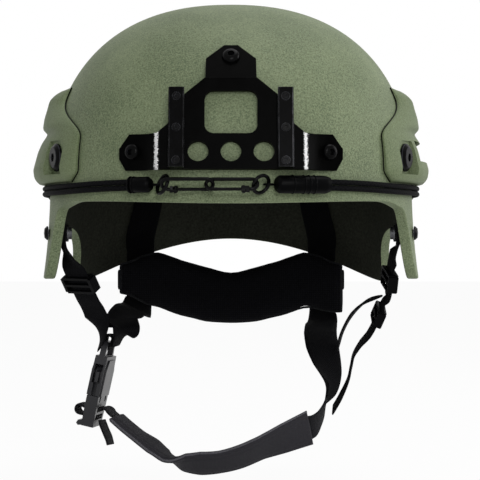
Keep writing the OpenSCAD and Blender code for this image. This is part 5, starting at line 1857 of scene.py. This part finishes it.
@dataclass
class Upholstery:
    """The suspension pads, the nape band and the chin cup."""

    base: float = 10.0
    pad: float = 16.6
    crown_radius: float = 51.0
    nape_half: float = 57.2
    nape_thick: float = 5.4
    nape_swell: float = 0.35
    nape_corner: float = 0.6
    pad_bow: float = 0.06
    cup_half: float = 14.7
    cup_thick: float = 5.0
    cup_rim: float = 0.42
    channel_at: float = 0.72
    channel_wide: float = 0.07
    channel_deep: float = 0.34
    binding: float = 0.75
    cup_fill: float = 0.8
    steps: int = 20
    cushions: list[Cushion] = field(default_factory=list)

    @staticmethod
    def swell(u: float, v: float, low: float = 0.45, power: int = 6) -> float:
        """Thickness share of a crowned pad at a place from -1 to 1."""
        return mix(low, 1, math.sqrt(max(0.0, (1 - u**power) * (1 - v**power))))

    def dome_pad(self, node: str, span: Pair, rise: Pair, cells: tuple[int, int] = (18, 14)) -> None:
        """Add a pad that lies against the dome.

        Args:
            node: Name of the pad's solid.
            span: Azimuths of its two ends.
            rise: Elevations of its lower and upper side.
            cells: Cells of its grid.
        """

        def layer(depth: float) -> Place:
            """Surface of the pad at a depth off its back.

            Args:
                depth: Distance off its back.

            Returns:
                The surface.
            """

            def place(u: float, v: float) -> Vector:
                """Point of the surface, whose sides bow in a little at the corners.

                Args:
                    u: First share, from 0 to 1.
                    v: Second share, from 0 to 1.

                Returns:
                    The point, in metres.
                """
                a, b = 2 * u - 1, 2 * v - 1
                az = mix(*span, (1 + a * (1 - self.pad_bow * b * b * abs(a))) / 2)
                el = mix(*rise, (1 + b * (1 - self.pad_bow * a * a * abs(b))) / 2)
                return CURVES.dome(az, el, self.base + depth * self.swell(a, b))

            return place

        self.cushions.append(Cushion(node, layer(0), layer(self.pad), cells, PAD_CLOTH))

    def crown_pad(self) -> None:
        """Add the round pad under the crown."""

        def layer(depth: float) -> Place:
            """Surface of the pad at a depth off its back.

            Args:
                depth: Distance off its back.

            Returns:
                The surface.
            """

            def place(u: float, v: float) -> Vector:
                """Point of the surface, on a disc that the two shares are spread over.

                Args:
                    u: First share, from 0 to 1.
                    v: Second share, from 0 to 1.

                Returns:
                    The point, in metres.
                """
                a, b = 2 * u - 1, 2 * v - 1
                x = self.crown_radius * a * math.sqrt(1 - b * b / 2)
                y = self.crown_radius * b * math.sqrt(1 - a * a / 2)
                return CURVES.under_crown(x, y, self.base + depth * self.swell(a, b))

            return place

        self.cushions.append(Cushion("crown_pad", layer(0), layer(self.pad), (18, 18), PAD_CLOTH))

    def nape_top(self, share: float) -> float:
        """Height of the nape band's upper edge at a share from -1 to 1, which dips between two shoulders."""
        a, corner = abs(share), self.nape_corner
        return 2.5 + 26 * a**1.15 if a < corner else mix(17, 9, smooth((a - corner) / (1 - corner)))

    def nape_bottom(self, share: float) -> float:
        """Height of the nape band's lower edge at a share from -1 to 1, whose two ends differ.

        Args:
            share: Place along the band.

        Returns:
            The height.
        """
        a, corner = abs(share), self.nape_corner
        tip = (10.5 if share < 0 else -4) * smooth((a - corner) / (1 - corner))
        return -36.2 + 30 * min(a, corner) ** 1.7 + tip

    def nape_pad(self) -> None:
        """Add the cushion behind the neck."""

        def layer(sign: int) -> Place:
            """Surface of the band towards the neck or away from it.

            Args:
                sign: 1 for the face away from the neck and -1 for the face towards it.

            Returns:
                The surface.
            """

            def place(u: float, v: float) -> Vector:
                """Point of the surface, half a millimetre within the band's edges.

                Args:
                    u: First share, from 0 to 1.
                    v: Second share, from 0 to 1.

                Returns:
                    The point, in metres.
                """
                a, b = 2 * u - 1, 2 * v - 1
                turn = math.radians(self.nape_half * a)
                radius = NAPE_RADIUS + sign * self.nape_thick * self.swell(a, b, self.nape_swell)
                height = mix(self.nape_bottom(a) + 0.5, self.nape_top(a) - 0.5, v)
                return Vector((radius * math.sin(turn), NAPE_MIDDLE + radius * math.cos(turn), height)) * MM

            return place

        band = Cushion(
            "nape_pad", layer(1), layer(-1), (56, 18), NAPE_CLOTH,
            voxel=4.0, cap=1.4, fill=0.6, seam_radius=0.8,
        )
        self.cushions.append(band)

    def chin_cup(self, frame: dict) -> None:
        """Make the padded cup under the chin, with its bound edges.

        Args:
            frame: The loaded frame.
        """
        rows = rows_of([
            (-76, -7, -91.5, 0.085, 1, 0.085), (-69, -8.5, -97.5, 0.085, 1, 0.085),
            (-60, -10, -104.5, 0.06, 1, 0.1), (-51, -11, -110.6, 0.03, 1, 0.2),
            (-43, -12, -116.6, 0, 1, 0.12), (-38, -12, -119, 0, 1, -0.1), (-31, -12, -121, 0, 0.87, -0.42),
            (-20, -12, -121.7, 0, 0.83, -0.56), (-7, -12, -120.7, 0, 0.84, -0.54),
            (6, -12, -117.3, 0.02, 0.82, -0.57),
            (20, -11.4, -111.4, 0.05, 0.82, -0.57), (35, -9.6, -105.4, 0.1, 0.71, -0.7),
            (44.5, -8, -101.6, 0.15, 0.66, -0.74), (52, -6.4, -98.7, 0.23, 0.62, -0.75),
        ])
        guide = Ribbon("guide", rows, 2 * self.cup_half, CUP_CLOTH, self.cup_thick, 6, 0.0)
        last = len(guide.path) - 1

        def layer(sign: int) -> Place:
            """Surface of one face of the cup.

            Args:
                sign: 1 for the upper face and -1 for the lower.

            Returns:
                The surface.
            """

            def place(u: float, v: float) -> Vector:
                """Point of the face, where two stitched channels run along beside the edges.

                Args:
                    u: First share, from 0 to 1.
                    v: Second share, from 0 to 1.

                Returns:
                    The point, in metres.
                """
                across = 2 * v - 1
                here, side, face = guide.path[round(u * last)]
                near = (abs(across) - self.channel_at) / self.channel_wide
                crown = mix(self.cup_rim, 1, math.sqrt(max(0.0, 1 - across**4)))
                half = self.cup_thick / 2 * crown - self.channel_deep * math.exp(-(near**2))
                return (here + side * across * self.cup_half + face * sign * half) * MM

            return place

        upper, lower = layer(1), layer(-1)
        cup = rounded(object_from(thick_grid(last, 26, upper, lower), "chin_cup_cushion", CUP_CLOTH))
        # The binding's pale grey is a painted highlight along the cup's edges
        for word, edge in (("upper", 1.0), ("lower", 0.0)):
            points = [upper(i / last, edge).lerp(lower(i / last, edge), 0.5) for i in range(last + 1)]
            trim(tube(f"chin_cup_binding_{word}", points, self.binding, HIGHLIT_BINDING, 8))
        keep(frame, cup, "chin_cup")

    def build(self, frame: dict) -> None:
        """Make every cushion, filling all of them in one run.

        Args:
            frame: The loaded frame.
        """
        self.crown_pad()
        self.dome_pad("front_pad", (-17.3, 17.3), (6.3, 28.2), (14, 12))
        self.dome_pad("rear_pad", (153.5, 206.5), (5.5, 32.5))
        for side in Side:
            for word, span in (("front", (41, 81)), ("rear", (99, 139))):
                ends = tuple(sorted(side.value * a for a in span))
                self.dome_pad(f"side_pad_{word}_{side.word}", ends, (12.5, 41.5))
        self.nape_pad()
        for cushion in self.cushions:
            cushion.start()
        scene = bpy.context.scene
        for step in range(1, self.steps + 1):
            scene.frame_set(step)
        for cushion in self.cushions:
            cushion.settle(frame)
        scene.frame_set(1)
        self.chin_cup(frame)


# Brow cords


@dataclass
class BrowCord:
    """Doubled elastic on one side, with its crimped sleeve.

    First and stop are the azimuths of the strands' ends, sleeve holds those of the sleeve's ends, stand is
    how far the sleeve stands off the strands, and bands are the places of its bands along it.
    """

    side: Side
    first: float
    sleeve: Pair
    sleeve_d: float
    stand: float
    bands: tuple[float, ...]
    stop: float = 101.0
    cord_d: float = 3.3
    # Rest off the shell and height of the pair of strands, at the brow and at the side
    rest: Pair = (0.9, 1.7)
    height: Pair = (57.5, 56.3)
    strand_gap: float = 0.15
    steps: int = 70
    band_radius: float = 0.6
    band_sink: float = 0.15

    def middle(self, azimuth: float, level: float) -> Vector:
        """Point on one strand's middle line, in metres.

        Args:
            azimuth: Azimuth from the front.
            level: -1 for the lower strand, 1 for the upper.

        Returns:
            The point.
        """
        a = abs(azimuth)
        rest = mix(*self.rest, smooth((a - 30) / 40))
        height = mix(*self.height, smooth((a - 25) / 30))
        height += level * (self.cord_d + self.strand_gap) / 2
        return CURVES.at(azimuth, height, rest + self.cord_d / 2)

    def build(self, frame: dict) -> None:
        """Make both strands and the sleeve's ribs.

        Args:
            frame: The loaded frame.
        """
        sign, node = self.side.value, f"cord_{self.side.word}"
        for level in (-1, 1):
            turns = [sign * mix(self.first, self.stop, i / self.steps) for i in range(self.steps + 1)]
            points = [self.middle(turn, level) for turn in turns]
            word = "lower" if level < 0 else "upper"
            keep(frame, tube(f"{node}_strand_{word}", points, self.cord_d / 2, ELASTIC, 14), node)
        refined(frame, f"cord_sleeve_{self.side.word}", SLEEVE_RUBBER, 0)
        self.ribs()

    def ribs(self) -> None:
        """Raise the crimped bands round the sleeve."""
        sign = self.side.value
        start, end = self.middle(sign * self.sleeve[0], 0), self.middle(sign * self.sleeve[1], 0)
        turn = CURVES.turn(sign * sum(self.sleeve) / 2, self.height[0])
        out = ((self.sleeve_d - self.cord_d) / 2 + self.stand) * MM
        away = Vector((math.sin(turn), -math.cos(turn), 0)) * out
        along = (end - start).normalized()
        one = along.orthogonal().normalized()
        two = along.cross(one)
        radius = (self.sleeve_d / 2 - self.band_sink) * MM
        turns = [2 * math.pi * i / 40 for i in range(41)]
        for index, share in enumerate(self.bands):
            heart = start.lerp(end, share) + away
            loop = [heart + (one * math.cos(t) + two * math.sin(t)) * radius for t in turns]
            trim(tube(f"sleeve_band_{self.side.word}_{index}", loop, self.band_radius, SLEEVE_RUBBER, 8))


CORDS = (
    BrowCord(Side.RIGHT, first=24.65, sleeve=(18.7, 24.5), sleeve_d=9.4, stand=0.2, bands=(0.78, 0.94)),
    BrowCord(
        Side.LEFT, first=23.65, sleeve=(10.0, 23.5), sleeve_d=10.6, stand=1.2, bands=(0.3, 0.5, 0.6, 0.7)
    ),
)


# Rigid pieces

# Finish of each rigid solid, and the radius of its edges in millimetres
RIGID: dict[str, tuple[Finish, float]] = {
    "mounting_plate": (PLATE_COAT, 0.5),
    "dovetail_bar_right": (BAR_COAT, 0.35),
    "dovetail_bar_left": (BAR_COAT, 0.35),
    "dovetail_screws": (SCREW_COAT, 0.15),
    "plate_screws": (SCREW_COAT, 0.2),
    "plate_nuts": (NUT_ZINC, 0.2),
    "strap_bolts": (SCREW_COAT, 0.3),
    "strap_nuts": (NUT_ZINC, 0.2),
    "rail_bolts": (SCREW_COAT, 0.4),
    "rail_nuts": (NUT_ZINC, 0.2),
    "pad_discs": (LOOP_CLOTH, 0.0),
    "slider_right": (SLIDER_NYLON, 0.5),
    "slider_left": (SLIDER_NYLON, 0.5),
    "strap_adjuster": (SLIDER_NYLON, 0.5),
    "buckle_housing": (BUCKLE_NYLON, 0.6),
    "buckle_plug": (BUCKLE_NYLON, 0.5),
    "prong_front": (BUCKLE_NYLON, 0.3),
    "prong_rear": (BUCKLE_NYLON, 0.3),
    "cord_ring_right": (WIRE_COAT, 0.0),
    "cord_ring_left": (WIRE_COAT, 0.0),
    "hook_right": (WIRE_COAT, 0.0),
    "hook_left": (WIRE_COAT, 0.0),
    "hook_gate_right": (WIRE_COAT, 0.0),
    "hook_gate_left": (WIRE_COAT, 0.0),
}


@dataclass(frozen=True)
class Softbox:
    """Square soft lamp: its name, its place and side in metres, and its power in watts."""

    name: str
    place: Triple
    size: float
    power: float


@dataclass
class Studio:
    """Floor, soft lamps, world and camera, whose lens and sensor are in millimetres."""

    eye: Triple = (0.0, -1.2, 0.025)
    lens: float = 135.75
    sensor: float = 36.0
    photo_px: int = 480
    shift_px: float = 9.0
    floor_z: float = -0.14
    floor_half: float = 6.0
    aim: Triple = (0.0, 0.0, 0.04)
    ambient: float = 0.19
    lamps: tuple[Softbox, ...] = (
        Softbox("key_softbox", (0.3, -2.0, 0.75), 0.5, 11.0),
        Softbox("front_softbox", (0.1, -2.0, 0.1), 0.35, 4.5),
        Softbox("top_softbox", (0.3, 0.05, 1.5), 0.9, 8.0),
        Softbox("side_softbox", (1.5, 0.1, 0.5), 0.8, 7.5),
    )

    def build(self) -> None:
        """Set up the whole studio."""
        scene = bpy.context.scene
        scene.view_settings.view_transform = "Standard"
        self.floor()
        self.world(scene)
        for box in self.lamps:
            self.lamp(box)
        self.camera(scene)

    def camera(self, scene: bpy.types.Scene) -> None:
        """Stand the camera where the photo was taken from, looking straight back.

        Args:
            scene: Scene that looks through it.
        """
        camera = bpy.data.cameras.new("photo_camera")
        camera.lens, camera.sensor_width = self.lens, self.sensor
        camera.shift_x = self.shift_px / self.photo_px
        camera.clip_start, camera.clip_end = 0.05, 20.0
        eye = bpy.data.objects.new("photo_camera", camera)
        eye.location, eye.rotation_euler = self.eye, (math.pi / 2, 0, 0)
        scene.collection.objects.link(eye)
        scene.camera = eye

    def lamp(self, box: Softbox) -> None:
        """Add a soft lamp that faces the helmet.

        Args:
            box: The lamp's own values.
        """
        data = bpy.data.lights.new(box.name, "AREA")
        data.size, data.energy = box.size, box.power
        lamp = bpy.data.objects.new(box.name, data)
        lamp.location = box.place
        lamp.rotation_euler = (Vector(self.aim) - Vector(box.place)).to_track_quat("-Z", "Y").to_euler()
        bpy.context.scene.collection.objects.link(lamp)

    def world(self, scene: bpy.types.Scene) -> None:
        """Light softly from all round and show plain white behind the object.

        Args:
            scene: Scene that the world belongs to.
        """
        world = bpy.data.worlds.new("studio_world")
        scene.world = world
        world.use_nodes = True
        tree = world.node_tree
        tree.nodes.clear()
        soft = put(tree, "ShaderNodeBackground", i_Color=(1, 1, 1, 1), i_Strength=self.ambient)
        white = put(tree, "ShaderNodeBackground", i_Color=(1, 1, 1, 1), i_Strength=1.0)
        links = {"0": seen_share(tree), "1": soft.outputs[0], "2": white.outputs[0]}
        both = put(tree, "ShaderNodeMixShader", links)
        put(tree, "ShaderNodeOutputWorld", {"Surface": both.outputs[0]})

    def floor(self) -> None:
        """Lay a pale plain floor below the object that keeps its shadow."""
        form = bmesh.new()
        bmesh.ops.create_grid(form, x_segments=1, y_segments=1, size=self.floor_half)
        for vert in form.verts:
            vert.co.z = self.floor_z
        floor = object_from(form, "pale_floor", FLOOR_PAINT)


def main() -> None:
    """Build every piece on the frame, in order."""
    logging.basicConfig(level=logging.INFO, format="%(name)s: %(message)s")
    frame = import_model()
    Studio().build()
    Upholstery().build(frame)
    Shell().build(frame)
    for side in Side:
        Rail(side).build(frame)
    for node, (finish, bevel) in RIGID.items():
        refined(frame, node, finish, bevel)
    Harness().build(frame)
    for cord in CORDS:
        cord.build(frame)


if __name__ == "__main__":
    main()
